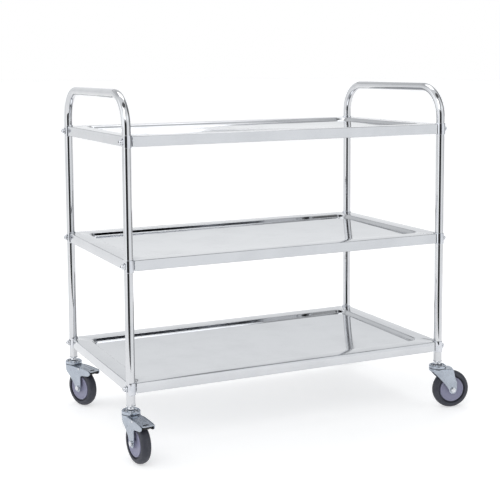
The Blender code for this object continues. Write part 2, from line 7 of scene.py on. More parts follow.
import json
import logging
import math
from collections.abc import Callable, Iterable, Mapping, Sequence
from dataclasses import dataclass
from enum import Enum

import bmesh
import bpy
from mathutils import Matrix, Vector

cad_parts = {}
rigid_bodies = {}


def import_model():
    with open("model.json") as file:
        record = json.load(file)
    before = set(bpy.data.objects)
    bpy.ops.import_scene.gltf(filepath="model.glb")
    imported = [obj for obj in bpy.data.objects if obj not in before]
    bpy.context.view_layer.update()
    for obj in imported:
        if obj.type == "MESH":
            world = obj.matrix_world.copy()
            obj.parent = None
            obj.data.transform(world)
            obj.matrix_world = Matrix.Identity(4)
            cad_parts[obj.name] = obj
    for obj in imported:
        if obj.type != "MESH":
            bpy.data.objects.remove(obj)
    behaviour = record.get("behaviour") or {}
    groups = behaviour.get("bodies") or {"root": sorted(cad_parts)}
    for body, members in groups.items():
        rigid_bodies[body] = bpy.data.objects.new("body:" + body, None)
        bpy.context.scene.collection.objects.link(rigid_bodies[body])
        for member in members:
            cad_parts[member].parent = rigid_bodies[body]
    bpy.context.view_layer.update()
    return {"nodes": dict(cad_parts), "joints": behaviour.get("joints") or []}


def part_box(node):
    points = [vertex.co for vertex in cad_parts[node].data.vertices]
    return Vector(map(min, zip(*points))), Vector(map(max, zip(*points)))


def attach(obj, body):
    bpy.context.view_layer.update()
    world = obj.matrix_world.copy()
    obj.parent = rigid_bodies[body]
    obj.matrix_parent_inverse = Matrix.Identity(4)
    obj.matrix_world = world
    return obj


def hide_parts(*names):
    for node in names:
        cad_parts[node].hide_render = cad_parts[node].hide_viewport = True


for leftover in list(bpy.data.objects):
    bpy.data.objects.remove(leftover)
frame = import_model()

LOG = logging.getLogger("food_trolley")
MM = 0.001
TAU = 2 * math.pi
WELD = 0.004 * MM  # corners closer than this are merged
UP = Vector((0.0, 0.0, 1.0))
DIRT = (0.2, 0.19, 0.18)  # colour of what settles near the floor
DIRT_REACH = 0.16  # height in metres where the dirt fades out

Colour = tuple[float, float, float]
Point = tuple[float, float, float]


# ---------------------------------------------------------------- names


class Level(Enum):
    """The three shelves."""

    TOP = "top"
    MIDDLE = "middle"
    BOTTOM = "bottom"


class Side(Enum):
    """The two ends of the trolley, by the sign of X."""

    LEFT = -1
    RIGHT = 1


class Corner(Enum):
    """The four legs: sign of X, sign of Y."""

    FRONT_LEFT = (-1, -1)
    REAR_LEFT = (-1, 1)
    FRONT_RIGHT = (1, -1)
    REAR_RIGHT = (1, 1)

    @property
    def label(self) -> str:
        """The corner's name in the frame's node names."""
        return self.name.lower()


class Braking(Enum):
    """Whether a caster carries a foot brake."""

    BRAKED = "braked"
    FREE = "free"


# ---------------------------------------------------------------- shader building


class Wire:
    """One output of a material's node, with the arithmetic that patterns are written in."""

    def __init__(self, board: "Board", socket: bpy.types.NodeSocket) -> None:
        """Keeps the socket and the board that it belongs to."""
        self.board = board
        self.socket = socket

    def _maths(self, operation: str, first: "Wire | float", second: "Wire | float") -> "Wire":
        """A Math node of two values."""
        node = self.board.node("ShaderNodeMath", {"operation": operation}, {0: first, 1: second})
        return Wire(self.board, node.outputs[0])

    def __add__(self, other: "Wire | float") -> "Wire":
        """Sum."""
        return self._maths("ADD", self, other)

    __radd__ = __add__

    def __sub__(self, other: "Wire | float") -> "Wire":
        """Difference."""
        return self._maths("SUBTRACT", self, other)

    def __rsub__(self, other: float) -> "Wire":
        """Difference from a number."""
        return self._maths("SUBTRACT", other, self)

    def __mul__(self, other: "Wire | float") -> "Wire":
        """Product."""
        return self._maths("MULTIPLY", self, other)

    __rmul__ = __mul__

    def __pow__(self, other: float) -> "Wire":
        """Power."""
        return self._maths("POWER", self, other)


class Board:
    """The node tree of one material."""

    def __init__(self, tree: bpy.types.NodeTree) -> None:
        """Starts from an empty tree."""
        self.tree = tree
        tree.nodes.clear()

    def node(
        self,
        kind: str,
        settings: Mapping[str, object] | None = None,
        inputs: Mapping[str | int, object] | None = None,
    ) -> bpy.types.Node:
        """Adds a node.

        Args:
            kind: The node's type.
            settings: Properties, set before the sockets.
            inputs: Values or wires, by socket name or number.

        Returns:
            The node.
        """
        made = self.tree.nodes.new(kind)
        for name, value in (settings or {}).items():
            setattr(made, name, value)
        for name, value in (inputs or {}).items():
            if isinstance(value, Wire):
                self.tree.links.new(value.socket, made.inputs[name])
            else:
                made.inputs[name].default_value = value
        return made

    def placed(self, scale: Point, turn: Point = (0.0, 0.0, 0.0)) -> Wire:
        """Object coordinates, scaled and turned.

        Args:
            scale: How tightly the pattern repeats along each axis.
            turn: Turns about the axes, in radians.

        Returns:
            The place that a pattern reads.
        """
        source = self.node("ShaderNodeTexCoord").outputs["Object"]
        inputs = {"Vector": Wire(self, source), "Rotation": turn, "Scale": scale}
        return Wire(self, self.node("ShaderNodeMapping", None, inputs).outputs[0])

    def noise(
        self, where: Wire, scale: float, detail: float = 3.0, rough: float = 0.5, twist: float = 0.0
    ) -> Wire:
        """Noise from 0 to 1 at the given place and scale."""
        inputs = {"Vector": where, "Scale": scale, "Detail": detail, "Roughness": rough, "Distortion": twist}
        return Wire(self, self.node("ShaderNodeTexNoise", None, inputs).outputs[0])

    def height(self) -> Wire:
        """Height above the floor, in metres.

        Returns:
            The height.
        """
        source = self.node("ShaderNodeTexCoord").outputs["Object"]
        split = self.node("ShaderNodeSeparateXYZ", None, {0: Wire(self, source)})
        return Wire(self, split.outputs["Z"])

    def between(self, value: Wire, low: float, high: float, bottom: float = 0.0, top: float = 1.0) -> Wire:
        """value's stretch from low to high, eased onto bottom to top.

        Args:
            value: What is stretched.
            low: The value that gives bottom.
            high: The value that gives top.
            bottom: The least result.
            top: The greatest result.

        Returns:
            The eased value.
        """
        inputs = {"Value": value, "From Min": low, "From Max": high, "To Min": bottom, "To Max": top}
        made = self.node("ShaderNodeMapRange", {"interpolation_type": "SMOOTHSTEP"}, inputs)
        return Wire(self, made.outputs[0])

    def tint(self, share: Wire, first: Colour, second: Colour) -> Wire:
        """A colour from first to second."""
        inputs = {0: share, 6: (*first, 1.0), 7: (*second, 1.0)}
        return Wire(self, self.node("ShaderNodeMix", {"data_type": "RGBA"}, inputs).outputs[2])

    def tint_over(self, share: Wire, under: Wire, over: Colour) -> Wire:
        """A colour laid over another."""
        inputs = {0: share, 6: under, 7: (*over, 1.0)}
        return Wire(self, self.node("ShaderNodeMix", {"data_type": "RGBA"}, inputs).outputs[2])

    def bump(self, relief: Wire, depth: float, under: Wire | None = None) -> Wire:
        """Relief of the given depth in metres, over any relief under it.

        Args:
            relief: The height of the relief, from 0 to 1.
            depth: Its depth in metres.
            under: The relief that it lies on, if any.

        Returns:
            The bent normal.
        """
        inputs: dict[str | int, object] = {"Strength": 1.0, "Distance": depth, "Height": relief}
        if under is not None:
            inputs["Normal"] = under
        return Wire(self, self.node("ShaderNodeBump", None, inputs).outputs[0])

    def surface(self, values: Mapping[str, object]) -> None:
        """Finishes the material with a Principled shader."""
        shader = self.node("ShaderNodeBsdfPrincipled", None, dict(values))
        self.node("ShaderNodeOutputMaterial", None, {"Surface": Wire(self, shader.outputs[0])})


@dataclass(frozen=True)
class Finish:
    """What every finish has: a name, the record's slot and a way to make its material."""

    name: str
    slot: str

    def dress(self, board: Board) -> None:
        """Builds the nodes."""
        raise NotImplementedError

    def material(self) -> bpy.types.Material:
        """The finish's material, made once.

        Returns:
            The material.
        """
        found = bpy.data.materials.get(self.name)
        if found is None:
            found = bpy.data.materials.new(self.name)
            found.use_nodes = True
            self.dress(Board(found.node_tree))
        return found


@dataclass(frozen=True)
class Metal(Finish):
    """A bare or plated metal with grain, smears, hairline scratches and a slight wave."""

    bright: Colour
    dull: Colour
    gloss: float  # roughness where clean
    smeared: float  # roughness where smeared
    grain: Point = (60.0, 60.0, 60.0)  # how tightly the grain repeats along each axis
    grain_depth: float = 0.00001
    wave_scale: float = 3.0
    wave_depth: float = 0.0
    scratch_share: float = 0.3
    patch_scale: float = 9.0
    grime: float = 0.0  # how much settled dirt shows near the floor

    def dress(self, board: Board) -> None:
        """Builds the nodes.

        Args:
            board: The material's nodes.
        """
        whole = board.placed((1.0, 1.0, 1.0))
        patches = board.between(board.noise(whole, self.patch_scale, 4.0, 0.6), 0.35, 0.7)
        grain = board.noise(board.placed(self.grain), 1.0, 3.0, 0.6)
        hairs = [
            board.between(board.noise(board.placed(scale, turn), 1.0, 1.0, 0.4), 0.66, 0.7)
            for scale, turn in (
                ((9.0, 420.0, 420.0), (0.0, 0.0, 0.35)),
                ((420.0, 12.0, 420.0), (0.0, 0.2, -0.5)),
            )
        ]
        scratches = (hairs[0] + hairs[1]) * self.scratch_share
        colour = board.tint(patches * 0.6 + grain * 0.4, self.bright, self.dull)
        rough = board.between(patches + grain * 0.35, 0.0, 1.3, self.gloss, self.smeared) + scratches * 0.12
        if self.grime:
            low = 1.0 - board.between(board.height(), 0.0, DIRT_REACH)
            dirt = low * board.between(board.noise(whole, 70.0, 5.0, 0.7), 0.45, 0.75) * self.grime
            colour = board.tint_over(dirt, colour, DIRT)
            rough = rough + dirt * 0.35
        relief = board.bump(grain + scratches * 0.8, self.grain_depth)
        if self.wave_depth:
            relief = board.bump(board.noise(whole, self.wave_scale, 1.0, 0.3), self.wave_depth, relief)
        board.surface({"Base Color": colour, "Metallic": 1.0, "Roughness": rough, "Normal": relief})


@dataclass(frozen=True)
class Polymer(Finish):
    """A moulded plastic or rubber with fine texture, mottling, and dust or scuffs."""

    body: Colour
    mottled: Colour
    dust: Colour
    gloss: float
    dull: float
    texture_scale: float = 1400.0
    texture_depth: float = 0.00004
    dust_share: float = 0.3
    dust_scale: float = 45.0
    shine: float = 0.45

    def dress(self, board: Board) -> None:
        """Builds the nodes.

        Args:
            board: The material's nodes.
        """
        whole = board.placed((1.0, 1.0, 1.0))
        mottle = board.noise(whole, 120.0, 4.0, 0.6)
        texture = board.noise(whole, self.texture_scale, 2.0, 0.5)
        dust = board.between(board.noise(whole, self.dust_scale, 6.0, 0.7, 0.4), 0.42, 0.78) * self.dust_share
        colour = board.tint_over(dust, board.tint(mottle, self.body, self.mottled), self.dust)
        rough = board.between(mottle + texture * 0.3, 0.2, 1.0, self.gloss, self.dull) + dust * 0.2
        relief = board.bump(texture + mottle * 0.6, self.texture_depth)
        board.surface(
            {"Base Color": colour, "Roughness": rough, "Normal": relief, "Specular IOR Level": self.shine}
        )


@dataclass(frozen=True)
class PaleFloor(Finish):
    """A smooth pale floor that glows a little, as a lit studio table does."""

    pale: Colour = (0.76, 0.76, 0.76)
    clouded: Colour = (0.72, 0.72, 0.72)
    glow: float = 0.64

    def dress(self, board: Board) -> None:
        """Builds the nodes.

        Args:
            board: The material's nodes.
        """
        cloud = board.noise(board.placed((1.0, 1.0, 1.0)), 2.0, 3.0, 0.5)
        colour = board.tint(cloud, self.pale, self.clouded)
        lit = {"Emission Color": colour, "Emission Strength": self.glow}
        board.surface({"Base Color": colour, "Roughness": 0.75, **lit})


TUBE_STEEL = Metal(
    "polished_tube_steel", "tube_steel", (0.63, 0.635, 0.65), (0.55, 0.56, 0.58), 0.045, 0.1,
    grain=(900.0, 900.0, 14.0), grain_depth=0.000004, patch_scale=14.0, scratch_share=0.25,
)
SHEET_STEEL = Metal(
    "mirror_sheet_steel", "sheet_steel", (0.61, 0.62, 0.64), (0.55, 0.56, 0.58), 0.05, 0.11,
    grain=(5.0, 700.0, 700.0), grain_depth=0.0000035, wave_scale=4.5, wave_depth=0.0009, scratch_share=0.22,
)
CHROME = Metal(
    "chromed_saddle", "chrome", (0.66, 0.67, 0.7), (0.52, 0.54, 0.58), 0.05, 0.13,
    grain=(260.0, 260.0, 260.0), grain_depth=0.000008, patch_scale=60.0, scratch_share=0.35,
)
BOLT_STEEL = Metal(
    "turned_bolt_steel", "bolt_steel", (0.74, 0.75, 0.78), (0.56, 0.58, 0.61), 0.08, 0.2,
    grain=(700.0, 700.0, 700.0), grain_depth=0.000006, patch_scale=90.0, scratch_share=0.35,
)
INSERT_METAL = Metal(
    "plated_insert", "insert_metal", (0.66, 0.68, 0.71), (0.5, 0.52, 0.56), 0.1, 0.22,
    grain=(500.0, 500.0, 60.0), grain_depth=0.000006, patch_scale=80.0, grime=0.15,
)
ZINC_PLATE = Metal(
    "blue_zinc_plate", "zinc_plate", (0.43, 0.47, 0.53), (0.35, 0.385, 0.44), 0.19, 0.3,
    grain=(180.0, 180.0, 180.0), grain_depth=0.000008, patch_scale=38.0, scratch_share=0.35, grime=0.22,
)
PEDAL_PLATE = Metal(
    "trodden_pedal_plate", "pedal_plate", (0.46, 0.5, 0.56), (0.35, 0.385, 0.44), 0.2, 0.34,
    grain=(220.0, 220.0, 220.0), grain_depth=0.000008, patch_scale=50.0, scratch_share=0.8, grime=0.2,
)
CORE_PLASTIC = Polymer(
    "moulded_core_plastic", "core_plastic",
    (0.2, 0.2, 0.29), (0.23, 0.23, 0.33), (0.32, 0.32, 0.38), 0.36, 0.52,
    texture_scale=1600.0, texture_depth=0.00003, dust_share=0.25,
)
TYRE_RUBBER = Polymer(
    "grey_tyre_rubber", "tyre_rubber",
    (0.022, 0.024, 0.036), (0.03, 0.032, 0.045), (0.12, 0.12, 0.14), 0.4, 0.62,
    texture_scale=1100.0, texture_depth=0.00004, dust_share=0.28, dust_scale=60.0,
)
PAD_RUBBER = Polymer(
    "black_pad_rubber", "pad_rubber",
    (0.012, 0.012, 0.013), (0.02, 0.02, 0.022), (0.1, 0.1, 0.1), 0.5, 0.75,
    texture_scale=900.0, texture_depth=0.00006, dust_share=0.25,
)
# black of the race seal; the same black also paints the shade at the bottom of the bolts' sockets
BLACK_SEAL_AND_SHADE = Polymer(
    "black_race_seal", "pad_rubber",
    (0.008, 0.008, 0.012), (0.013, 0.013, 0.018), (0.05, 0.05, 0.06), 0.4, 0.6,
    dust_share=0.2,
)
FLOOR = PaleFloor("pale_floor", "")


# ---------------------------------------------------------------- mesh building


def smooth_step(value: float, low: float, high: float) -> float:
    """0 below low, 1 above high, eased between."""
    share = min(1.0, max(0.0, (value - low) / (high - low)))
    return share * share * (3 - 2 * share)


def along(stops: Sequence[tuple[float, float]], value: float) -> float:
    """The height at value of a line through stops, which are in rising order.

    Args:
        stops: Pairs of place and height, in rising order.
        value: The place.

    Returns:
        The height there.
    """
    if value <= stops[0][0]:
        return stops[0][1]
    for (x0, y0), (x1, y1) in zip(stops, stops[1:]):
        if value <= x1:
            return y0 + (y1 - y0) * (value - x0) / (x1 - x0)
    return stops[-1][1]


def tidied(work: bmesh.types.BMesh) -> bmesh.types.BMesh:
    """Merges doubles and turns the faces outwards.

    Args:
        work: The mesh, changed in place.

    Returns:
        The same mesh.
    """
    bmesh.ops.remove_doubles(work, verts=work.verts[:], dist=WELD)
    bmesh.ops.recalc_face_normals(work, faces=work.faces[:])
    return work


def faced(work: bmesh.types.BMesh, probe: bmesh.types.BMFace, way: Vector) -> bmesh.types.BMesh:
    """Turns an open sheet over if one of its faces points against the way that it should.

    Args:
        work: The sheet, changed in place.
        probe: One of its faces.
        way: Where that face should look.

    Returns:
        The same sheet.
    """
    if probe.normal.dot(way) < 0:
        bmesh.ops.reverse_faces(work, faces=work.faces[:])
    return work


def spun(profile: Iterable[tuple[float, float]], steps: int = 48) -> bmesh.types.BMesh:
    """A profile of (radius, height) turned round Z; it closes on itself unless it ends on the axis.

    Args:
        profile: Pairs of radius and height.
        steps: How many steps the full turn has.

    Returns:
        The closed solid.
    """
    points = list(profile)
    work = bmesh.new()
    verts = [work.verts.new((radius, 0.0, height)) for radius, height in points]
    for first, second in zip(verts, verts[1:]):
        work.edges.new((first, second))
    if min(radius for radius, _ in points) > 0:
        work.edges.new((verts[-1], verts[0]))
    bmesh.ops.spin(
        work, geom=work.verts[:] + work.edges[:], cent=(0, 0, 0), axis=(0, 0, 1), angle=TAU, steps=steps,
        use_merge=True, use_duplicate=False,
    )
    return tidied(work)


def rounded(
    points: Sequence[tuple[float, float]], radius: float, steps: int = 3
) -> list[tuple[float, float]]:
    """An open line of points with its inner corners rounded.

    Args:
        points: The line's points.
        radius: How far from a corner its curve starts.
        steps: How many steps each curve has.

    Returns:
        The new line's points.
    """
    made = [points[0]]
    for before, corner, after in zip(points, points[1:], points[2:]):
        middle = Vector(corner)
        back, on = Vector(before) - middle, Vector(after) - middle
        reach = min(radius, back.length * 0.45, on.length * 0.45)
        first, last = middle + back.normalized() * reach, middle + on.normalized() * reach
        for i in range(steps + 1):
            t = i / steps
            made.append(tuple(first * (1 - t) ** 2 + middle * 2 * t * (1 - t) + last * t * t))
    return made + [points[-1]]


def prism(sides: int, radius: float, height: float, chamfer: float) -> bmesh.types.BMesh:
    """An upright prism, such as a nut, standing on Z = 0, with eased edges.

    Args:
        sides: How many sides it has.
        radius: From its axis to its corners.
        height: Its height.
        chamfer: How wide its edges are eased.

    Returns:
        The mesh.
    """
    work = rod(radius, height, sides, shift(z=height / 2))
    ease(work, work.edges[:], chamfer, 2)
    return work


def ease(
    work: bmesh.types.BMesh, edges: Sequence[bmesh.types.BMEdge], width: float, segments: int = 2
) -> None:
    """Bevels edges.

    Args:
        work: The mesh, changed in place.
        edges: Its edges to bevel.
        width: How far from the edge the bevel starts.
        segments: How many steps the bevel has.
    """
    bmesh.ops.bevel(
        work, geom=list(edges), offset=width, offset_type="OFFSET", segments=segments, profile=0.5,
        affect="EDGES", material=-1, clamp_overlap=True,
    )


def sharp_edges(work: bmesh.types.BMesh, degrees: float = 30.0) -> list[bmesh.types.BMEdge]:
    """Edges where the surface turns by more than degrees."""
    limit = math.radians(degrees)
    return [edge for edge in work.edges if len(edge.link_faces) == 2 and edge.calc_face_angle(0.0) > limit]


def bent_grid(columns: int, rows: int, shape: Callable[[float, float], Point]) -> bmesh.types.BMesh:
    """A flat grid bent to shape, which takes two shares from -1 to 1 and gives the point there.

    Args:
        columns: Cells along the first share.
        rows: Cells along the second share.
        shape: Gives the point for a pair of shares.

    Returns:
        The open sheet.
    """
    work = bmesh.new()
    bmesh.ops.create_grid(work, x_segments=columns, y_segments=rows, size=1.0)
    for vert in work.verts:
        vert.co = shape(vert.co.x, vert.co.y)
    return work


def thickened(work: bmesh.types.BMesh, wall: float) -> bmesh.types.BMesh:
    """A sheet given a wall on the side that its faces point away from."""
    bmesh.ops.solidify(work, geom=work.faces[:], thickness=wall)
    return tidied(work)


def joined(first: bmesh.types.BMesh, *others: bmesh.types.BMesh) -> bmesh.types.BMesh:
    """The others' geometry added to first; the others are freed.

    Args:
        first: The mesh that is added to.
        others: The meshes to add.

    Returns:
        The first mesh.
    """
    for other in others:
        mesh = bpy.data.meshes.new("joining")
        other.to_mesh(mesh)
        other.free()
        first.from_mesh(mesh)
        bpy.data.meshes.remove(mesh)
    return first


def moved(work: bmesh.types.BMesh, matrix: Matrix) -> bmesh.types.BMesh:
    """work, moved and turned."""
    bmesh.ops.transform(work, matrix=matrix, verts=work.verts[:])
    return work


def shift(x: float = 0.0, y: float = 0.0, z: float = 0.0) -> Matrix:
    """A move."""
    return Matrix.Translation((x, y, z))


def turn(degrees: float, axis: str) -> Matrix:
    """A turn about an axis."""
    return Matrix.Rotation(math.radians(degrees), 4, axis)


def block(low: Point, high: Point, edge: float = 0.0) -> bmesh.types.BMesh:
    """A box between two corners, with eased edges.

    Args:
        low: The corner with the least of each measure.
        high: The corner with the most.
        edge: How wide the edges are eased.

    Returns:
        The mesh.
    """
    work = bmesh.new()
    low_corner, high_corner = Vector(low), Vector(high)
    middle, size = (low_corner + high_corner) / 2, high_corner - low_corner
    bmesh.ops.create_cube(work, size=1.0, matrix=Matrix.Translation(middle) @ Matrix.Diagonal((*size, 1)))
    if edge:
        ease(work, work.edges[:], edge, 2)
    return work


def rod(radius: float, length: float, segments: int, place: Matrix) -> bmesh.types.BMesh:
    """A rod along Z, centred, then placed.

    Args:
        radius: Its radius.
        length: Its length.
        segments: How many sides it has.
        place: Where it goes.

    Returns:
        The mesh.
    """
    work = bmesh.new()
    bmesh.ops.create_cone(
        work, cap_ends=True, segments=segments, radius1=radius, radius2=radius, depth=length, matrix=place
    )
    return work


class Workshop:
    """Turns shaped meshes into named pieces that ride on the frame's bodies."""

    def __init__(self) -> None:
        """Starts with no pieces."""
        self.count = 0

    def solid(self, name: str, work: bmesh.types.BMesh) -> bpy.types.Object:
        """An object with work as its mesh; work is freed.

        Args:
            name: The object's name.
            work: Its mesh.

        Returns:
            The object.
        """
        mesh = bpy.data.meshes.new(name)
        work.to_mesh(mesh)
        work.free()
        made = bpy.data.objects.new(name, mesh)
        bpy.context.scene.collection.objects.link(made)
        return made

    def combined(
        self, name: str, base: bmesh.types.BMesh, tools: Sequence[tuple[str, bmesh.types.BMesh]]
    ) -> bmesh.types.BMesh:
        """Cuts or joins base with each tool.

        Args:
            name: A name for the work in hand.
            base: The mesh to work on, which is freed.
            tools: Boolean operations and their meshes, which are freed.

        Returns:
            The result.
        """
        obj = self.solid(name, base)
        helpers = []
        for operation, tool in tools:
            helper = self.solid(f"{name}_tool", tool)
            helpers.append(helper)
            modifier = obj.modifiers.new(operation, "BOOLEAN")
            modifier.operation = operation
            modifier.solver = "EXACT"
            modifier.object = helper
        bpy.context.view_layer.update()
        shown = obj.evaluated_get(bpy.context.evaluated_depsgraph_get())
        result = bmesh.new()
        result.from_mesh(shown.to_mesh())
        shown.to_mesh_clear()
        for used in [obj, *helpers]:
            mesh = used.data
            bpy.data.objects.remove(used)
            bpy.data.meshes.remove(mesh)
        bmesh.ops.remove_doubles(result, verts=result.verts[:], dist=WELD / 2)
        return result

    def piece(
        self,
        name: str,
        work: bmesh.types.BMesh,
        finish: Finish,
        body: str,
        replaces: Sequence[str] = (),
        angle: float = 32.0,
    ) -> bpy.types.Object:
        """Files a finished piece.

        Args:
            name: The piece's name.
            work: Its mesh, in place; it is freed.
            finish: Its finish.
            body: The frame's body that it rides on.
            replaces: CAD nodes that it stands for.
            angle: Edges sharper than this, in degrees, stay crisp.

        Returns:
            The object.
        """
        made = self.solid(name, work)
        made.data.materials.append(finish.material())
        made.data.shade_smooth()
        made.data.set_sharp_from_angle(angle=math.radians(angle))
        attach(made, body)
        if replaces:
            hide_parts(*replaces)
        self.count += 1
        LOG.info("%s: %d faces, rides on %s", name, len(made.data.polygons), body)
        return made


# ---------------------------------------------------------------- layout read from the frame


def joint_named(name: str) -> Mapping[str, object]:
    """A joint of the frame."""
    return next(joint for joint in frame["joints"] if joint["name"] == name)


def leg_axis(corner: Corner) -> Vector:
    """Where a leg's axis meets the floor."""
    place = joint_named(f"swivel_{corner.label}")["pos_m"]
    return Vector((place[0], place[1], 0.0))


def caster_place(corner: Corner) -> Matrix:
    """From a caster's own axes, trailing along +X, to its place.

    Args:
        corner: The caster's corner.

    Returns:
        The move and turn.
    """
    foot = leg_axis(corner)
    wheel = joint_named(f"wheel_spin_{corner.label}")["pos_m"]
    heading = math.atan2(wheel[1] - foot.y, wheel[0] - foot.x)
    return Matrix.Translation(foot) @ Matrix.Rotation(heading, 4, "Z")


# ---------------------------------------------------------------- end frames


@dataclass
class EndFrame:
    """One bent tube: two legs and the push handle between them."""

    side: Side
    radius: float = 11 * MM
    wall: float = 1.2 * MM
    bend: float = 80 * MM
    sides: int = 56
    bend_steps: int = 28

    def tube(self, low: Vector, high: Vector) -> bmesh.types.BMesh:
        """The tube between the corners of its box.

        Args:
            low: The box's least corner.
            high: The box's greatest corner.

        Returns:
            The mesh.
        """
        x, front, rear = (low.x + high.x) / 2, low.y + self.radius, high.y - self.radius
        crown = high.z - self.radius
        work = bmesh.new()
        bmesh.ops.create_circle(
            work, cap_ends=False, segments=self.sides, radius=self.radius, matrix=shift(x, front, low.z)
        )
        ring = work.edges[:]
        ring = self.run(work, ring, Vector((0, 0, crown - self.bend - low.z)))
        ring = self.elbow(work, ring, Vector((x, front + self.bend, crown - self.bend)))
        ring = self.run(work, ring, Vector((0, rear - front - 2 * self.bend, 0)))
        ring = self.elbow(work, ring, Vector((x, rear - self.bend, crown - self.bend)))
        self.run(work, ring, Vector((0, 0, low.z - crown + self.bend)))
        probe = tidied(work).faces[0]
        middle = probe.calc_center_median()
        outwards = middle - Vector((x, front, middle.z))
        return thickened(faced(work, probe, outwards), self.wall)

    def run(
        self, work: bmesh.types.BMesh, ring: Sequence[bmesh.types.BMEdge], way: Vector
    ) -> list[bmesh.types.BMEdge]:
        """Draws the tube's open end on in a straight line, and gives the new end.

        Args:
            work: The tube so far, changed in place.
            ring: The edges of its open end.
            way: The run's direction and length.

        Returns:
            The edges of the new end.
        """
        drawn = bmesh.ops.extrude_edge_only(work, edges=list(ring))["geom"]
        corners = [item for item in drawn if isinstance(item, bmesh.types.BMVert)]
        bmesh.ops.translate(work, vec=way, verts=corners)
        return self.open_end([item for item in drawn if isinstance(item, bmesh.types.BMEdge)])

    def elbow(
        self, work: bmesh.types.BMesh, ring: Sequence[bmesh.types.BMEdge], centre: Vector
    ) -> list[bmesh.types.BMEdge]:
        """Bends the tube's open end through a quarter turn, and gives the new end.

        Args:
            work: The tube so far, changed in place.
            ring: The edges of its open end.
            centre: The bend's centre.

        Returns:
            The edges of the new end.
        """
        corners = list({vert for edge in ring for vert in edge.verts})
        turned = bmesh.ops.spin(
            work, geom=corners + list(ring), cent=centre, axis=(-1, 0, 0), angle=math.pi / 2,
            steps=self.bend_steps, use_merge=False, use_duplicate=False,
        )["geom_last"]
        return self.open_end([item for item in turned if isinstance(item, bmesh.types.BMEdge)])

    def open_end(self, edges: Iterable[bmesh.types.BMEdge]) -> list[bmesh.types.BMEdge]:
        """Those edges that only one face has."""
        return [edge for edge in edges if len(edge.link_faces) <= 1]

    def build(self, shop: Workshop) -> None:
        """Makes the tube."""
        node = f"end_frame_{self.side.name.lower()}"
        shop.piece(f"{node}_tube", self.tube(*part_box(node)), TUBE_STEEL, "trolley", [node])


# ---------------------------------------------------------------- shelves


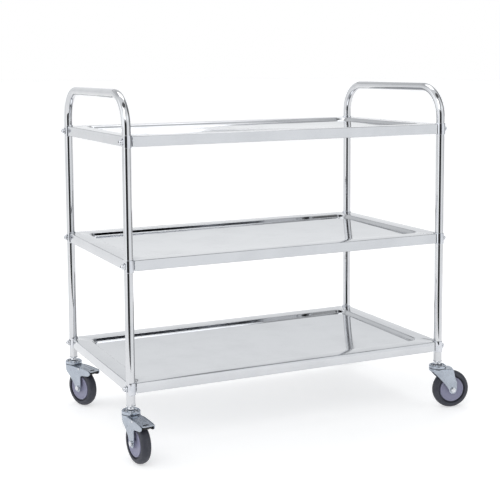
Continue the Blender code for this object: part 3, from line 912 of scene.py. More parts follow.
@dataclass
class Shelf:
    """A tray pressed from one sheet, with a flange folded round each leg."""

    level: Level
    sheet: float = 1 * MM
    rim: float = 41 * MM
    slope: float = 7 * MM
    recess: float = 9 * MM
    recess_corner: float = 28 * MM
    lip: float = 10 * MM
    lip_setback: float = 6 * MM
    fold: float = 1.8 * MM
    hollow_fold: float = 0.5 * MM
    hollow_steps: int = 14
    notch: float = 15.2 * MM  # radius cut round the leg's axis
    corner_segments: int = 14
    crease_turn: float = 1.2  # radians, past which two faces meet in a crease

    def deck_face(self, work: bmesh.types.BMesh, half: Vector) -> bmesh.types.BMFace:
        """Adds the recess's mouth, a rectangle with rounded corners, and gives its face.

        Args:
            work: The sheet, changed in place.
            half: Half of the recess's length and width.

        Returns:
            The face that fills the recess's mouth.
        """
        made = bmesh.ops.create_grid(
            work, x_segments=1, y_segments=1, size=1.0, matrix=Matrix.Diagonal((half.x, half.y, 1, 1))
        )["verts"]
        bmesh.ops.bevel(
            work, geom=made, offset=self.recess_corner, offset_type="OFFSET", segments=self.corner_segments,
            profile=0.5, affect="VERTICES", material=-1,
        )
        return max(work.faces, key=lambda face: len(face.verts))

    def outline(
        self, work: bmesh.types.BMesh, half: Vector, overhang: float
    ) -> list[bmesh.types.BMEdge]:
        """Adds the tray's outline, with a hollow round each leg, and gives its edges.

        Args:
            work: The sheet, changed in place.
            half: Half of the tray's length and width.
            overhang: How far the tray reaches past a leg's axis.

        Returns:
            The outline's edges.
        """
        across = math.sqrt(self.notch**2 - overhang**2)
        hollow = math.pi / 2 + 2 * math.atan2(overhang, across)
        made = []
        last = first = None
        for i, (x_sign, y_sign) in enumerate(((1, 1), (-1, 1), (-1, -1), (1, -1))):
            axis = Vector((x_sign * (half.x - overhang), y_sign * (half.y - overhang), 0))
            start = work.verts.new(axis + turn(90 * i, "Z") @ Vector((overhang, -across, 0)))
            if last is None:
                first = start
            else:
                made.append(work.edges.new((last, start)))
            known = set(work.edges)
            swept = bmesh.ops.spin(
                work, geom=[start], cent=axis, axis=(0, 0, -1), angle=hollow, steps=self.hollow_steps,
                use_merge=False, use_duplicate=False,
            )["geom_last"]
            made += [edge for edge in work.edges if edge not in known]
            last = next(item for item in swept if isinstance(item, bmesh.types.BMVert))
        return [*made, work.edges.new((last, first))]

    def skin(self, half: Vector, depth: float, overhang: float) -> bmesh.types.BMesh:
        """The tray's outer skin round the origin, its rim at Z = 0.

        Args:
            half: Half of the tray's length and width.
            depth: The skirt's height.
            overhang: How far the tray reaches past a leg's axis.

        Returns:
            The open sheet, with its faces upwards and outwards.
        """
        work = bmesh.new()
        deck = self.deck_face(work, half - Vector((self.rim, self.rim)))
        bmesh.ops.inset_region(
            work, faces=[deck], thickness=self.slope, depth=0.0, use_even_offset=True, use_boundary=True
        )
        bmesh.ops.translate(work, vec=(0, 0, -self.recess), verts=deck.verts[:])
        foot = deck.edges[:]
        mouth = [edge for edge in work.edges if len(edge.link_faces) == 1]
        outline = self.outline(work, half, overhang)
        bmesh.ops.triangle_fill(
            work, use_beauty=True, use_dissolve=False, edges=mouth + outline, normal=(0, 0, 1)
        )
        bmesh.ops.recalc_face_normals(work, faces=work.faces[:])

        hems = self.drawn(work, outline)
        bmesh.ops.translate(work, vec=(0, 0, -depth), verts=self.verts_of(hems))
        for edge in [edge for edge in hems if edge.calc_length() > self.rim]:
            first, second = edge.verts
            bmesh.utils.edge_split(edge, first, self.lip_setback / edge.calc_length())
            bmesh.utils.edge_split(edge, second, self.lip_setback / edge.calc_length())
        edges = [edge for vert in self.verts_of(hems) for edge in vert.link_edges]
        long_hems = {edge for edge in edges if edge.is_boundary and edge.calc_length() > self.rim}
        lips = self.drawn(work, long_hems)
        for vert in self.verts_of(lips):
            side = half.x - abs(vert.co.x) < half.y - abs(vert.co.y)
            vert.co[0 if side else 1] -= math.copysign(self.lip, vert.co[0 if side else 1])
        bmesh.ops.recalc_face_normals(work, faces=work.faces[:])
        ease(work, mouth + foot, self.fold * 1.4, 4)
        ease(work, [edge for edge in self.creases(work) if edge.calc_length() > self.rim], self.fold, 4)
        ease(work, self.creases(work), self.hollow_fold, 2)
        return faced(work, max(work.faces, key=lambda face: face.calc_area()), UP)

    def creases(self, work: bmesh.types.BMesh) -> list[bmesh.types.BMEdge]:
        """Level edges where the sheet turns through about a right angle.

        Args:
            work: The sheet.

        Returns:
            The edges.
        """
        return [
            edge
            for edge in work.edges
            if len(edge.link_faces) == 2
            and edge.calc_face_angle(0.0) > self.crease_turn
            and abs(edge.verts[0].co.z - edge.verts[1].co.z) < 0.1 * MM
        ]

    def drawn(self, work: bmesh.types.BMesh, edges: Sequence[bmesh.types.BMEdge]) -> list[bmesh.types.BMEdge]:
        """Draws edges out into new faces, and gives the new outer edges."""
        made = bmesh.ops.extrude_edge_only(work, edges=list(edges))["geom"]
        return [item for item in made if isinstance(item, bmesh.types.BMEdge) and len(item.link_faces) == 1]

    def verts_of(self, edges: Iterable[bmesh.types.BMEdge]) -> list[bmesh.types.BMVert]:
        """The edges' vertices, each once, in a steady order."""
        return sorted({vert for edge in edges for vert in edge.verts}, key=lambda vert: tuple(vert.co))

    def build(self, shop: Workshop) -> None:
        """Makes the tray.

        Args:
            shop: The workshop that files the pieces.
        """
        node = f"shelf_{self.level.value}"
        low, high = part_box(node)
        centre = (low + high) / 2
        half = Vector((high.x - low.x, high.y - low.y)) / 2
        overhang = half.x - (leg_axis(Corner.FRONT_RIGHT).x - centre.x)
        skin = self.skin(half, high.z - low.z, overhang)
        tray = moved(thickened(skin, self.sheet), shift(centre.x, centre.y, high.z))
        shop.piece(f"{node}_tray", tray, SHEET_STEEL, "trolley", [node])


# ---------------------------------------------------------------- corner saddles and bolts


@dataclass
class CornerFixing:
    """The saddle, the capped bolt and the nut that hold one shelf corner to its leg."""

    level: Level
    corner: Corner
    bore: float = 11.3 * MM
    wall: float = 2 * MM
    mouth: float = 7.7 * MM
    mouth_flare: float = 3.6 * MM
    bulge: float = 0.35 * MM
    washer: float = 8.5 * MM
    washer_height: float = 1.6 * MM
    head: float = 6.2 * MM
    head_height: float = 7.0 * MM
    shank: float = 3 * MM
    socket: float = 3.0 * MM
    socket_depth: float = 2.6 * MM
    socket_cutter: float = 6 * MM
    # height of the black hexagon that paints shade at the socket's bottom
    plug_height: float = 1.85 * MM
    cap_rim: float = 2.6 * MM  # height of the cap's straight rim
    nut_reach: float = 5.5 * MM
    nut_flange: float = 6.4 * MM
    nut_height: float = 4.4 * MM
    nut_base: float = 1.1 * MM
    nut_seat: float = 16.1 * MM  # from the leg's axis

    def saddle(self, height: float) -> bmesh.types.BMesh:
        """The C-shaped pressing, open towards -X, with a bulging waist and tips that draw back.

        Args:
            height: The pressing's height.

        Returns:
            The mesh, round the origin.
        """
        outer = self.bore + self.wall

        def wrap(u: float, v: float) -> Point:
            """The pressing's outside at u round the leg and v up it.

            Args:
                u: From -1 to 1 round the leg.
                v: From -1 to 1 up it.

            Returns:
                The point.
            """
            lift = 0.91 * v
            gap = self.mouth + self.mouth_flare * lift * lift
            angle = u * (math.pi - math.asin(gap / outer))
            crown = self.bulge * (1 - v * v)
            radius = outer + crown - self.bulge
            return (radius * math.cos(angle), radius * math.sin(angle), v * height / 2)

        work = bent_grid(64, 14, wrap)
        bmesh.ops.recalc_face_normals(work, faces=work.faces[:])
        probe = work.faces[0]
        faced(work, probe, Vector((*probe.calc_center_median().xy, 0)))
        thickened(work, self.wall - self.bulge)
        ease(work, sharp_edges(work, 50), 0.45 * MM, 3)
        return work

    def bolt(self, shop: Workshop, tip: float) -> bmesh.types.BMesh:
        """The washer, the domed cap with its hex socket and the shank, along +Z from the leg's axis.

        Args:
            shop: The workshop, which does the cutting.
            tip: How far the shank reaches past the leg's axis.

        Returns:
            The mesh.
        """
        seat = self.bore
        base = seat + self.washer_height
        top = base + self.head_height
        dome = [
            (self.head * math.sin(t), base + self.cap_rim + (self.head_height - self.cap_rim) * math.cos(t))
            for t in (math.radians(10 * i) for i in range(1, 10))
        ]
        profile = [(0.0, top), *dome, (self.head, base), (self.washer - 0.5 * MM, base)]
        profile += [(self.washer, base - 0.4 * MM), (self.washer, seat + 0.2 * MM)]
        profile += [(self.washer - 0.4 * MM, seat), (self.shank, seat)]
        profile += [(self.shank, -tip + 0.6 * MM), (self.shank - 0.6 * MM, -tip), (0.0, -tip)]
        work = spun(profile, 40)
        cutter = prism(6, self.socket, self.socket_cutter, 0.05 * MM)
        socket = moved(cutter, shift(z=top - self.socket_depth))
        return shop.combined("bolt", work, [("DIFFERENCE", socket)])

    def plug(self) -> bmesh.types.BMesh:
        """A black hexagon at the socket's bottom, painted shade that darkens the socket, along +Z from the
        leg's axis.

        Returns:
            The mesh.
        """
        floor = self.bore + self.washer_height + self.head_height - self.socket_depth
        hexagon = prism(6, self.socket - 0.05 * MM, self.plug_height, 0.1 * MM)
        return moved(hexagon, shift(z=floor + 0.02 * MM))

    def nut(self) -> bmesh.types.BMesh:
        """The nut inside the shelf's corner, standing on Z = 0.

        Returns:
            The mesh.
        """
        bore = self.shank + 0.1 * MM
        ring = [(bore, 0.0), (self.nut_flange - 1 * MM, 0.0), (self.nut_flange, 0.5 * MM)]
        ring += [(self.nut_flange, self.nut_base), (bore, self.nut_base)]
        hexagon = prism(6, self.nut_reach, self.nut_height, 0.4 * MM)
        return joined(spun(ring, 32), moved(hexagon, shift(z=self.nut_base)))

    def build(self, shop: Workshop) -> None:
        """Makes the four pieces.

        Args:
            shop: The workshop that files the pieces.
        """
        label = f"{self.level.value}_{self.corner.label}"
        low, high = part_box(f"saddle_{label}")
        bolt_low, bolt_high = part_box(f"cap_bolt_{label}")
        foot = leg_axis(self.corner)
        place = shift(foot.x, foot.y, (low.z + high.z) / 2)
        if self.corner.value[0] > 0:
            place = place @ turn(180, "Z")
        pressing = moved(self.saddle(high.z - low.z), place)
        shop.piece(f"saddle_{label}_pressing", pressing, CHROME, "trolley", [f"saddle_{label}"])
        tip = (bolt_high.x - bolt_low.x) - (self.bore + self.washer_height + self.head_height)
        outward = place @ turn(-90, "Y")
        screw = moved(self.bolt(shop, tip), outward)
        shop.piece(f"cap_bolt_{label}_screw", screw, BOLT_STEEL, "trolley", [f"cap_bolt_{label}"])
        # the socket piece is a black hexagon that paints the socket's shade
        shop.piece(f"cap_bolt_{label}_socket", moved(self.plug(), outward), BLACK_SEAL_AND_SHADE, "trolley")
        inward = place @ turn(90, "Y") @ shift(z=self.nut_seat)
        shop.piece(f"cap_bolt_{label}_nut", moved(self.nut(), inward), BOLT_STEEL, "trolley")


# ---------------------------------------------------------------- casters


@dataclass
class Caster:
    """A swivel caster, in its own axes: the swivel axis is Z and the wheel trails along +X."""

    corner: Corner
    braking: Braking
    trail: float = 38 * MM
    wheel_radius: float = 51 * MM
    tyre_width: float = 26 * MM
    core_radius: float = 34 * MM
    hub_radius: float = 10 * MM
    hub_width: float = 31 * MM
    axle: float = 4 * MM
    inside: float = 32 * MM
    sheet: float = 2.5 * MM
    head_radius: float = 23 * MM
    stem_radius: float = 5 * MM
    crown_under: float = 104 * MM
    crown_top: float = 111 * MM
    head_under: float = 112.5 * MM
    head_top: float = 120.5 * MM
    pin_x: float = 44 * MM
    pin_z: float = 106 * MM
    play: float = 0.3 * MM  # between pieces that slide or turn on each other
    insert_height: float = 26 * MM
    insert_radius: float = 9.2 * MM
    insert_bore: float = 5.3 * MM
    insert_flange: float = 11.8 * MM
    dish_inside: float = 10.6 * MM
    dish_outside: float = 15.8 * MM
    lock_nut_reach: float = 9 * MM
    lock_nut_height: float = 5 * MM
    bosses: int = 6
    boss_radius: float = 2.3 * MM
    boss_ring: float = 13.3 * MM
    cheek_foot: float = 40.6 * MM  # height of the cheeks' lowest edge
    channel_fold: float = 3.5 * MM
    wing_start: float = 24 * MM
    washer_radius: float = 7 * MM
    washer_height: float = 1 * MM
    axle_head: float = 6.8 * MM
    axle_head_height: float = 3.2 * MM
    rivet: float = 3.2 * MM
    tread_height: float = 110.5 * MM  # of the pedal's upper face over the pin
    tread_fall: float = 0.0769  # per length along X
    pedal_heel: float = 25.5 * MM
    pedal_toe: float = 91.5 * MM
    pedal_end: float = 96.3 * MM
    pedal_half: float = 15.3 * MM
    pedal_wall: float = 1.3 * MM
    toe_rise: float = 1.5 * MM
    rib_height: float = 0.6 * MM
    pad_gap: float = 4.2 * MM
    pad_half: float = 9.6 * MM
    pad_end: float = 92.3 * MM
    pad_arc: tuple[float, float] = (64.0, 48.0)  # degrees up from the axle's level

    @property
    def place(self) -> Matrix:
        """From the caster's axes to its place."""
        return caster_place(self.corner)

    @property
    def on_axle(self) -> Matrix:
        """From a piece turned round Z to the axle."""
        return self.place @ shift(self.trail, 0, self.wheel_radius) @ turn(90, "X")

    def name(self, kind: str) -> str:
        """The full name of a node or body of this caster."""
        return f"{kind}_{self.corner.label}"

    # ------------------------------ swivel head

    def insert(self, foot: float) -> bmesh.types.BMesh:
        """The plug in the tube's foot, with a rolled flange under it.

        Args:
            foot: The height of the tube's foot.

        Returns:
            The mesh.
        """
        top, seat, bottom = foot + self.insert_height, foot - self.play, foot - 3.3 * MM
        bore, radius, flange = self.insert_bore, self.insert_radius, self.insert_flange
        profile = [(bore, top), (radius, top), (radius, seat), (flange - 0.4 * MM, seat)]
        profile += [(flange, foot - 0.9 * MM), (flange, foot - 2.2 * MM), (flange - 1.2 * MM, bottom)]
        return spun([*profile, (bore, bottom)], 48)

    def head(self, top: float) -> bmesh.types.BMesh:
        """The swivel head's pressed dish, the stem up into the leg and the kingpin below.

        Args:
            top: The height of the stem's top.

        Returns:
            The mesh.
        """
        outer = self.head_radius
        line = [
            (0.0, top),
            (self.stem_radius, top),
            (self.stem_radius, self.head_top - 1 * MM),
            (9.2 * MM, self.head_top - 1 * MM),
            (10.2 * MM, self.head_top - 3.6 * MM),
            (16.4 * MM, self.head_top - 3.6 * MM),
            (17.6 * MM, self.head_top - 0.4 * MM),
            (outer - 1.6 * MM, self.head_top - 0.4 * MM),
            (outer, self.head_top - 2.2 * MM),
            (outer, self.head_under),
            (outer - 1.2 * MM, self.head_under),
            (outer - 1.2 * MM, self.head_under + 3 * MM),
            (6 * MM, self.head_under + 3 * MM),
            (6 * MM, self.crown_under - 0.3 * MM),
            (9 * MM, self.crown_under - 0.3 * MM),
            (7 * MM, self.crown_under - 1.8 * MM),
            (0.0, self.crown_under - 1.8 * MM),
        ]
        return spun(rounded(line, 1.0 * MM), 72)

    def dish_floor(self) -> bmesh.types.BMesh:
        """A black ring laid on the floor of the head's dish, which makes the dish darker.

        Returns:
            The mesh.
        """
        inner, outer = self.dish_inside, self.dish_outside
        low, high = self.head_top - 3.4 * MM, self.head_top - 2.9 * MM
        return spun([(inner, high), (outer, high), (outer, low), (inner, low)], 64)

    def lock_nut(self) -> bmesh.types.BMesh:
        """The hexagon nut on the head, its tapered neck, and the pressed ball bosses round it.

        Returns:
            The mesh.
        """
        hexagon = prism(6, self.lock_nut_reach, self.lock_nut_height, 0.6 * MM)
        nut = moved(hexagon, shift(z=self.head_top - 0.8 * MM))
        low, high = self.head_top + 4.2 * MM, self.head_top + 7.8 * MM
        bore, wide = self.stem_radius + 0.1 * MM, 7.6 * MM
        neck = spun([(bore, high), (6.2 * MM, high), (wide, low + 1 * MM), (wide, low), (bore, low)], 48)
        bosses = []
        for i in range(self.bosses):
            angle = TAU * (i + 0.5) / self.bosses
            x, y = self.boss_ring * math.cos(angle), self.boss_ring * math.sin(angle)
            boss = bmesh.new()
            bmesh.ops.create_uvsphere(
                boss, u_segments=20, v_segments=12, radius=self.boss_radius,
                matrix=shift(x, y, self.head_top - 2.4 * MM),
            )
            bosses.append(boss)
        return joined(nut, neck, *bosses)

    def seal(self) -> bmesh.types.BMesh:
        """The black ring in the line between head and crown.

        Returns:
            The mesh.
        """
        low, high = self.crown_top + 0.1 * MM, self.head_under + 0.9 * MM
        outer = self.head_radius - 1.5 * MM
        profile = [(outer - 3 * MM, high), (outer - 0.3 * MM, high), (outer, high - 0.3 * MM)]
        profile += [(outer, low + 0.3 * MM), (outer - 0.3 * MM, low), (outer - 3 * MM, low)]
        return spun(profile, 64)

    # ------------------------------ fork

    def front_edge(self, z: float) -> float:
        """Where the cheek's front edge stands at height z.

        Args:
            z: The height.

        Returns:
            The edge's place along X.
        """
        # heights and places along X, in millimetres
        stops = [(40.6, 33.5), (43, 30.2), (47, 27.7), (51, 27.0), (56, 24.6), (63, 19.6), (70, 13.9)]
        stops += [(78, 6.6), (85, -0.2), (92, -7.0), (98, -13.0), (102, -16.8), (105, -18.8), (111, -19.6)]
        return along(stops, z / MM) * MM

    def rear_edge(self, z: float) -> float:
        """Where the cheek's rear edge stands at height z.

        Args:
            z: The height.

        Returns:
            The edge's place along X.
        """
        # heights and places along X, in millimetres
        stops = [(40.6, 42.5), (43, 45.8), (47, 48.3), (51, 49.0), (58, 49.7), (66, 49.6), (72, 49.8)]
        if self.braking is Braking.BRAKED:
            stops += [(80, 49.6), (85, 50.2), (87.5, 52.5), (89, 57), (90.6, 68), (92.2, 80), (93.6, 85.4)]
            stops += [(96, 88.6), (99, 89.9), (103, 89.6), (105.6, 88), (106.7, 85), (107.4, 78), (109, 60)]
            stops += [(109.8, 40), (109.99, 30), (110, 23.5)]
        else:
            stops += [(80, 46.4), (90, 43.2), (100, 41.4), (105, 40.2), (108.5, 38.6), (111, 34.5)]
        return along(stops, z / MM) * MM

    def channel(self) -> bmesh.types.BMesh:
        """The fork's two cheeks and the bridge between them, bent from one sheet.

        Returns:
            The mesh.
        """
        flat = self.inside / 2 + self.sheet
        fold = self.channel_fold
        top = self.crown_top - 1.0 * MM
        cup = self.head_radius - 0.6 * MM
        wall = top - fold - self.cheek_foot
        arc = fold * math.pi / 2
        across = flat - fold
        total = wall + arc + across

        def section(v: float) -> tuple[float, float]:
            """The channel's (y, z) at a share of the way across it.

            Args:
                v: From one foot at -1 to the other at 1.

            Returns:
                The place across the fork and the height.
            """
            run = abs(v) * total
            if run < across:
                return math.copysign(run, v), top
            if run < across + arc:
                angle = (run - across) / fold
                return math.copysign(across + fold * math.sin(angle), v), top - fold + fold * math.cos(angle)
            return math.copysign(flat, v), top - fold - (run - across - arc)

        def shape(u: float, v: float) -> Point:
            """The channel's surface at u from front to rear edge and v from one foot to the other.

            Args:
                u: From -1 at the front edge to 1 at the rear edge.
                v: From one foot at -1 to the other at 1.

            Returns:
                The point.
            """
            y, z = section(v)
            front, rear = self.front_edge(z), self.rear_edge(z)
            if self.braking is Braking.FREE and z > top - 0.01 * MM:
                rear += 5 * MM * (1 - (y / flat) ** 2)
            x = front + (rear - front) * (u + 1) / 2
            if self.braking is Braking.BRAKED and z < top - 0.001 * MM:
                straight = smooth_step(x, self.wing_start, self.wing_start + 10 * MM)
                y = math.copysign(abs(y) + (flat - abs(y)) * straight, v)
            if x < 0:
                round_y = math.sqrt(max(0.0, cup**2 - x * x))
            else:
                round_y = flat + (cup - flat) * (1 - smooth_step(x, 4 * MM, self.wing_start))
            wide = flat + (round_y - flat) * smooth_step(z, 76 * MM, self.crown_under)
            return (x, y * wide / flat, z)

        work = bent_grid(44, 150, shape)
        bmesh.ops.recalc_face_normals(work, faces=work.faces[:])
        faced(work, max(work.faces, key=lambda face: face.calc_center_median().z), UP)
        thickened(work, self.sheet)
        ease(work, sharp_edges(work, 50), 0.4 * MM, 2)
        return work

    def crown(self) -> bmesh.types.BMesh:
        """The round cup of the fork under the swivel head.

        Returns:
            The mesh.
        """
        outer = self.head_radius
        line = [
            (6.4 * MM, self.crown_top - 3 * MM),
            (outer - 5 * MM, self.crown_top - 3 * MM),
            (outer - 4 * MM, self.crown_top),
            (outer, self.crown_top),
            (outer, self.crown_top - 5 * MM),
            (outer - 1.5 * MM, self.crown_under - 1 * MM),
            (outer - 4 * MM, self.crown_under - 1 * MM),
            (outer - 4 * MM, self.crown_under + 1.5 * MM),
            (6.4 * MM, self.crown_under + 1.5 * MM),
        ]
        return spun(rounded(line, 0.9 * MM), 72)

    def fork(self, shop: Workshop) -> bmesh.types.BMesh:
        """The whole fork, drilled for its axle and brake pin.

        Args:
            shop: The workshop, which does the cutting.

        Returns:
            The mesh.
        """
        channel = self.channel()
        holes = [self.drill(self.trail, self.wheel_radius, self.axle + 0.2 * MM)]
        if self.braking is Braking.BRAKED:
            holes.append(self.drill(self.pin_x, self.pin_z - 1 * MM, 2.2 * MM))
        cut = [("DIFFERENCE", hole) for hole in holes]
        cut.append(("DIFFERENCE", rod(self.head_radius - 4.5 * MM, 25 * MM, 48, shift(z=112.5 * MM))))
        return joined(shop.combined("fork", channel, cut), self.crown())

    def drill(self, x: float, z: float, radius: float) -> bmesh.types.BMesh:
        """A rod along Y, to cut with."""
        return rod(radius, 200 * MM, 40, shift(x, 0, z) @ turn(90, "X"))

    # ------------------------------ wheel

    def axle_bolt(self) -> bmesh.types.BMesh:
        """The axle with a hex head, washers, a nut and its thread's end, along Z.

        Returns:
            The mesh.
        """
        face = self.inside / 2 + self.sheet + self.play
        end, chamfer = face + 5 * MM, 0.5 * MM
        half = [(0.0, end), (self.axle - chamfer, end), (self.axle, end - chamfer)]
        parts = [spun(half + [(radius, -height) for radius, height in reversed(half)], 40)]
        edge, height = self.washer_radius - 0.1 * MM, self.washer_height
        ring = [(self.axle, 0.0), (edge, 0.0), (self.washer_radius, 0.3 * MM), (edge, height)]
        ring.append((self.axle, height))
        for side in (shift(z=face), shift(z=-face) @ turn(180, "X")):
            hexagon = moved(prism(6, self.axle_head, self.axle_head_height, 0.5 * MM), shift(z=height))
            parts += [moved(spun(ring, 40), side), moved(hexagon, side)]
        return joined(*parts)

    def core(self) -> bmesh.types.BMesh:
        """The moulded core: hub, dished web with a raised ring, and the rib under the tyre.

        Returns:
            The mesh, round Z.
        """
        face = self.tyre_width / 2 - 1.2 * MM
        half = [
            (self.axle + self.play, self.hub_width / 2),
            (self.hub_radius - 0.8 * MM, self.hub_width / 2),
            (self.hub_radius, self.hub_width / 2 - 0.8 * MM),
            (self.hub_radius + 0.8 * MM, face - 0.8 * MM),
            (self.hub_radius + 2.5 * MM, face - 1.6 * MM),
            (self.core_radius - 5.6 * MM, face - 1.1 * MM),
            (self.core_radius - 4.4 * MM, face),
            (self.core_radius - 1.4 * MM, face),
            (self.core_radius - 0.8 * MM, face - 0.6 * MM),
            (self.core_radius - 0.8 * MM, 7.8 * MM),
            (self.core_radius, 7.6 * MM),
            (self.core_radius, 6.4 * MM),
            (self.core_radius + 3 * MM, 6.4 * MM),
        ]
        line = rounded(half, 0.6 * MM, 3)
        return spun(line + [(radius, -height) for radius, height in reversed(line)], 96)

    def tyre(self) -> bmesh.types.BMesh:
        """The tyre: a rounded tread, soft shoulders, a bead beside the core and a mould line.

        Returns:
            The mesh, round Z.
        """
        inner, side = self.core_radius + self.play, self.tyre_width / 2
        half = [
            (inner + 3 * MM, 6.8 * MM),
            (inner, 6.8 * MM),
            (inner, 7.6 * MM),
            (inner + 3.0 * MM, 7.8 * MM),
            (inner + 3.4 * MM, side - 0.8 * MM),
            (inner + 4.4 * MM, side),
            (self.wheel_radius - 7.5 * MM, side - 0.2 * MM),
            (self.wheel_radius - 3.2 * MM, side - 2.6 * MM),
            (self.wheel_radius - 0.9 * MM, side - 6.6 * MM),
            (self.wheel_radius - 0.12 * MM, 2.0 * MM),
            (self.wheel_radius - 0.12 * MM, 0.3 * MM),
            (self.wheel_radius, 0.12 * MM),
        ]
        line = rounded(half, 2.2 * MM, 4)
        return spun(line + [(radius, -height) for radius, height in reversed(line)], 120)

    # ------------------------------ brake

    def tread(self, x: float) -> float:
        """Height of the pedal plate's upper face at x."""
        return self.tread_height - self.tread_fall * (x - self.pin_x)

    def pedal(self, shop: Workshop) -> bmesh.types.BMesh:
        """The pedal: a flat plate between the cheeks, with ribs, a raised toe, a slot and two ears.

        Args:
            shop: The workshop, which does the cutting.

        Returns:
            The mesh.
        """
        heel, toe, end = self.pedal_heel, self.pedal_toe, self.pedal_end

        def plate(u: float, v: float) -> Point:
            """The plate's upper face at u from heel to toe and v across it.

            Args:
                u: From -1 at the heel to 1 at the toe's end.
                v: From -1 to 1 across it.

            Returns:
                The point.
            """
            x = heel + (end - heel) * (u + 1) / 2
            side = abs(v)
            heel_taper = 0.05 * (1 - smooth_step(x, heel, heel + 9 * MM))
            toe_taper = 0.16 * smooth_step(x, toe, end) * side**6
            rise = self.toe_rise * smooth_step(x, toe - 1 * MM, end)
            rib_run = smooth_step(x, heel + 8 * MM, heel + 14 * MM)
            rib_run -= smooth_step(x, toe - 20 * MM, toe - 14 * MM)
            ribs = self.rib_height * math.exp(-((side - 0.5) / 0.1) ** 2) * rib_run
            y = v * self.pedal_half * (1 - heel_taper - toe_taper)
            return (x, y, self.tread(x) + rise + ribs - 0.7 * MM)

        work = bent_grid(56, 40, plate)
        bmesh.ops.recalc_face_normals(work, faces=work.faces[:])
        faced(work, work.faces[0], UP)
        thickened(work, self.pedal_wall)
        ease(work, sharp_edges(work, 50), 0.35 * MM, 2)
        slot = block((80.5 * MM, -10 * MM, 90 * MM), (86.5 * MM, 5 * MM, 130 * MM), 1.8 * MM)
        parts = [shop.combined("pedal", work, [("DIFFERENCE", slot)])]
        for sign in (-1, 1):
            y = sign * (self.pedal_half - 1.1 * MM)
            ear = block(
                (self.pin_x - 9 * MM, y - 0.8 * MM, self.pin_z - 4 * MM),
                (self.pin_x + 9 * MM, y + 0.8 * MM, self.tread(self.pin_x) - 1.2 * MM), 0.6 * MM,
            )
            hole = self.drill(self.pin_x, self.pin_z, 2.3 * MM)
            parts.append(shop.combined("ear", ear, [("DIFFERENCE", hole)]))
        return joined(*parts)

    def pin(self) -> bmesh.types.BMesh:
        """The brake's pin with a riveted head at each end, along Z.

        Returns:
            The mesh.
        """
        seat, rivet = self.inside / 2 + self.sheet + self.play, self.rivet
        half = [(0.0, seat + 1.2 * MM), (rivet - 1 * MM, seat + 1.1 * MM), (rivet, seat + 0.3 * MM)]
        half += [(rivet, seat), (2 * MM, seat)]
        return spun(half + [(radius, -height) for radius, height in reversed(half)], 32)

    def pad(self) -> bmesh.types.BMesh:
        """The rubber pad under the pedal, hollowed to the tyre's curve, with a tongue out to the toe.

        Returns:
            The mesh.
        """
        reach, back = self.wheel_radius + self.pad_gap, self.pad_end
        first, last = (math.radians(angle) for angle in self.pad_arc)
        bend = 0.5  # where along the grid the curve gives way to the tongue

        def under(u: float, v: float) -> Point:
            """The pad's under face at u from front to toe and v across it.

            Args:
                u: From -1 at the front to 1 at the toe.
                v: From -1 to 1 across it.

            Returns:
                The point.
            """
            angle = first + (last - first) * min(1.0, (u + 1) / (bend + 1))
            x, z = self.trail + reach * math.cos(angle), self.wheel_radius + reach * math.sin(angle)
            if u > bend:
                share = (u - bend) / (1 - bend)
                x, z = x + (back - x) * share, z + (self.tread(back) - 6 * MM - z) * share
            return (x, v * self.pad_half, z)

        work = bent_grid(24, 4, under)
        roof = bmesh.ops.extrude_face_region(work, geom=work.faces[:])["geom"]
        for vert in (item for item in roof if isinstance(item, bmesh.types.BMVert)):
            vert.co.z = self.tread(vert.co.x) - 2.3 * MM
        tidied(work)
        ease(work, sharp_edges(work, 40), 0.5 * MM, 3)
        return work

    # ------------------------------ assembly

    def build(self, shop: Workshop) -> None:
        """Makes the caster's pieces.

        Args:
            shop: The workshop that files the pieces.
        """
        side = Side(self.corner.value[0])
        tube_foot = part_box(f"end_frame_{side.name.lower()}")[0].z
        stem_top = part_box(self.name("caster_stem"))[1].z
        place, axle = self.place, self.on_axle
        for node, suffix, work, finish, body in (
            ("leg_insert", "plug", moved(self.insert(tube_foot), place), INSERT_METAL, "trolley"),
            ("caster_stem", "head", moved(self.head(stem_top), place), ZINC_PLATE, "trolley"),
            ("caster_fork", "cheeks", moved(self.fork(shop), place), ZINC_PLATE, self.name("caster")),
            ("caster_axle", "bolt", moved(self.axle_bolt(), axle), BOLT_STEEL, self.name("caster")),
            ("wheel_core", "moulding", moved(self.core(), axle), CORE_PLASTIC, self.name("wheel")),
            ("tyre", "tread", moved(self.tyre(), axle), TYRE_RUBBER, self.name("wheel")),
        ):
            shop.piece(f"{self.name(node)}_{suffix}", work, finish, body, [self.name(node)])
        shop.piece(self.name("race_seal"), moved(self.seal(), place), BLACK_SEAL_AND_SHADE, "trolley")
        shop.piece(self.name("caster_dish_floor"), moved(self.dish_floor(), place), BLACK_SEAL_AND_SHADE, "trolley")
        shop.piece(self.name("caster_lock_nut"), moved(self.lock_nut(), place), BOLT_STEEL, "trolley")
        if self.braking is Braking.BRAKED:
            on_pin = place @ shift(self.pin_x, 0, self.pin_z) @ turn(90, "X")
            for node, suffix, work, finish, body in (
                ("brake_pin", "rivet", moved(self.pin(), on_pin), BOLT_STEEL, self.name("caster")),
                ("brake_pedal", "plate", moved(self.pedal(shop), place), PEDAL_PLATE, self.name("pedal")),
                ("brake_pad", "block", moved(self.pad(), place), PAD_RUBBER, self.name("pedal")),
            ):
                shop.piece(f"{self.name(node)}_{suffix}", work, finish, body, [self.name(node)])


# ---------------------------------------------------------------- studio


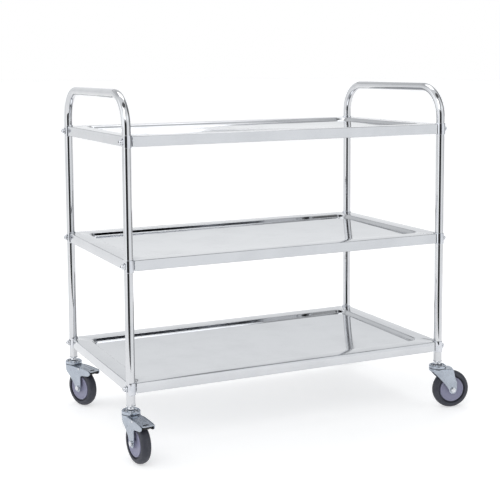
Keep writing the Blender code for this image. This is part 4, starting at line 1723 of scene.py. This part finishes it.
@dataclass
class Studio:
    """The floor, the light and the camera."""

    azimuth: float = -23.45
    elevation: float = 5.76
    roll: float = -0.60
    distance: float = 2.8266
    aim_from_legs: Point = (-0.15448, 0.0, 0.66392)
    focal_share: float = 2.1193  # focal length over the picture's width
    shift_x: float = 0.10
    shift_y: float = -0.16
    brightness: float = 1.5  # of the room
    floor_reach: float = 30.0
    floor_front: float = -1.0
    middle_height: float = 0.45  # what the lamps face

    def camera(self) -> None:
        """Sets the camera."""
        data = bpy.data.cameras.new("camera")
        data.sensor_width = 36.0
        data.lens = self.focal_share * data.sensor_width
        data.shift_x, data.shift_y = self.shift_x, self.shift_y
        data.clip_start, data.clip_end = 0.05, 60.0
        obj = bpy.data.objects.new("camera", data)
        bpy.context.scene.collection.objects.link(obj)
        legs = sum((leg_axis(corner) for corner in Corner), Vector()) / len(Corner)
        azimuth, elevation = math.radians(self.azimuth), math.radians(self.elevation)
        roll, level = math.radians(self.roll), math.cos(elevation)
        back = Vector((math.sin(azimuth) * level, -math.cos(azimuth) * level, math.sin(elevation)))
        right = Vector((math.cos(azimuth), math.sin(azimuth), 0.0))
        up = back.cross(right)
        rolled_right = math.cos(roll) * right + math.sin(roll) * up
        rolled_up = -math.sin(roll) * right + math.cos(roll) * up
        turned = Matrix((rolled_right, rolled_up, back)).transposed().to_4x4()
        stand = legs + Vector(self.aim_from_legs) + back * self.distance
        obj.matrix_world = Matrix.Translation(stand) @ turned
        bpy.context.scene.camera = obj

    def floor(self) -> None:
        """Lays the floor."""
        work = bmesh.new()
        place = shift(y=self.floor_front + self.floor_reach)
        bmesh.ops.create_grid(work, x_segments=1, y_segments=1, size=self.floor_reach, matrix=place)
        mesh = bpy.data.meshes.new("floor")
        work.to_mesh(mesh)
        work.free()
        made = bpy.data.objects.new("floor", mesh)
        bpy.context.scene.collection.objects.link(made)
        made.data.materials.append(FLOOR.material())

    def lamp(self, name: str, place: Point, size: tuple[float, float], power: float) -> None:
        """Hangs a soft rectangular light that faces the trolley's middle.

        Args:
            name: The lamp's name.
            place: Where it hangs.
            size: Its width and height.
            power: Its power in watts.
        """
        data = bpy.data.lights.new(name, "AREA")
        data.shape = "RECTANGLE"
        data.size, data.size_y = size
        data.energy = power
        obj = bpy.data.objects.new(name, data)
        bpy.context.scene.collection.objects.link(obj)
        way = Vector((0.0, 0.0, self.middle_height)) - Vector(place)
        turned = way.to_track_quat("-Z", "Y").to_matrix().to_4x4()
        obj.matrix_world = Matrix.Translation(place) @ turned

    def surroundings(self) -> None:
        """A bright room with dark openings, which the metal mirrors; the camera itself sees plain white."""
        world = bpy.data.worlds.new("studio")
        bpy.context.scene.world = world
        world.use_nodes = True
        board = Board(world.node_tree)
        way = Wire(board, board.node("ShaderNodeTexCoord").outputs["Generated"])
        split = board.node("ShaderNodeSeparateXYZ", None, {0: way})
        x, y, z = (Wire(board, split.outputs[i]) for i in range(3))
        level_reach = (x * x + y * y + 0.0001) ** -0.5

        def sector(middle: float, half: float, soft: float) -> Wire:
            """1 near a compass direction, measured as the camera's is.

            Args:
                middle: The direction in degrees.
                half: How many degrees it reaches each way.
                soft: How many degrees its edge is eased.

            Returns:
                The share.
            """
            angle = math.radians(middle)
            toward = (x * math.sin(angle) - y * math.cos(angle)) * level_reach
            outer, inner = math.cos(math.radians(half + soft)), math.cos(math.radians(half - soft))
            return board.between(toward, outer, inner)

        def above(degrees: float, soft: float = 2.0) -> Wire:
            """1 above an elevation in degrees, eased over soft degrees each way."""
            low, high = math.sin(math.radians(degrees - soft)), math.sin(math.radians(degrees + soft))
            return board.between(z, low, high)

        # The dark openings: two before the trolley, one to its right, one behind it and a slit overhead.
        front, ahead = sector(-28.5, 27, 2.5), sector(32, 34, 3)
        right, rear = sector(91.5, 25, 3), sector(156.5, 70, 12)
        overhead = board.between(y, -0.5, -0.45) * (1.0 - board.between(y, -0.2, -0.14)) * above(55)
        dimmed = (
            (1.0 - 0.72 * front * (1.0 - above(58, 6)))
            * (1.0 - 0.9 * front * (1.0 - above(15, 3)))
            * (1.0 - 0.78 * right * (1.0 - above(45, 8)))
            * (1.0 - 0.24 * ahead * (1.0 - above(20, 8)))
            * (1.0 - 0.35 * rear)
            * (1.0 - 0.35 * above(32, 8))
            * (1.0 - 0.7 * rear * above(24, 1) * (1.0 - above(27, 1)))
            * (1.0 - 0.85 * overhead)
        )
        tone = (0.97, 0.985, 1.0, 1.0)
        light, plain = (
            Wire(board, board.node("ShaderNodeBackground", None, inputs).outputs[0])
            for inputs in (
                {"Strength": dimmed * self.brightness, "Color": tone},
                {"Strength": 1.0, "Color": (1.0, 1.0, 1.0, 1.0)},
            )
        )
        seen = Wire(board, board.node("ShaderNodeLightPath").outputs["Is Camera Ray"])
        mixed = board.node("ShaderNodeMixShader", None, {0: seen, 1: light, 2: plain})
        board.node("ShaderNodeOutputWorld", None, {"Surface": Wire(board, mixed.outputs[0])})

    def build(self) -> None:
        """Sets up the whole studio."""
        settings = bpy.context.scene.view_settings
        settings.view_transform = "Standard"
        self.floor()
        self.surroundings()
        self.lamp("key_light", (-2.2, -2.6, 3.2), (2.4, 2.4), 40.0)
        self.lamp("top_light", (0.3, 0.9, 3.6), (2.4, 1.6), 25.0)
        self.camera()


# ---------------------------------------------------------------- the trolley


def build_trolley(shop: Workshop) -> None:
    """Builds every piece of the trolley, in order.

    Args:
        shop: The workshop that files the pieces.
    """
    for side in Side:
        EndFrame(side).build(shop)
    for level in Level:
        Shelf(level).build(shop)
    for level in Level:
        for corner in Corner:
            CornerFixing(level, corner).build(shop)
    nodes = frame["nodes"]
    for corner in Corner:
        braked = f"brake_pedal_{corner.label}" in nodes
        Caster(corner, Braking.BRAKED if braked else Braking.FREE).build(shop)


def write_sizes() -> None:
    """Updates the view layer."""
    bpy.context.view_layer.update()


def main() -> None:
    """Builds the scene."""
    logging.basicConfig(level=logging.INFO, format="%(message)s")
    shop = Workshop()
    build_trolley(shop)
    Studio().build()
    write_sizes()
    LOG.info("%d pieces", shop.count)


if __name__ == "__main__":
    main()
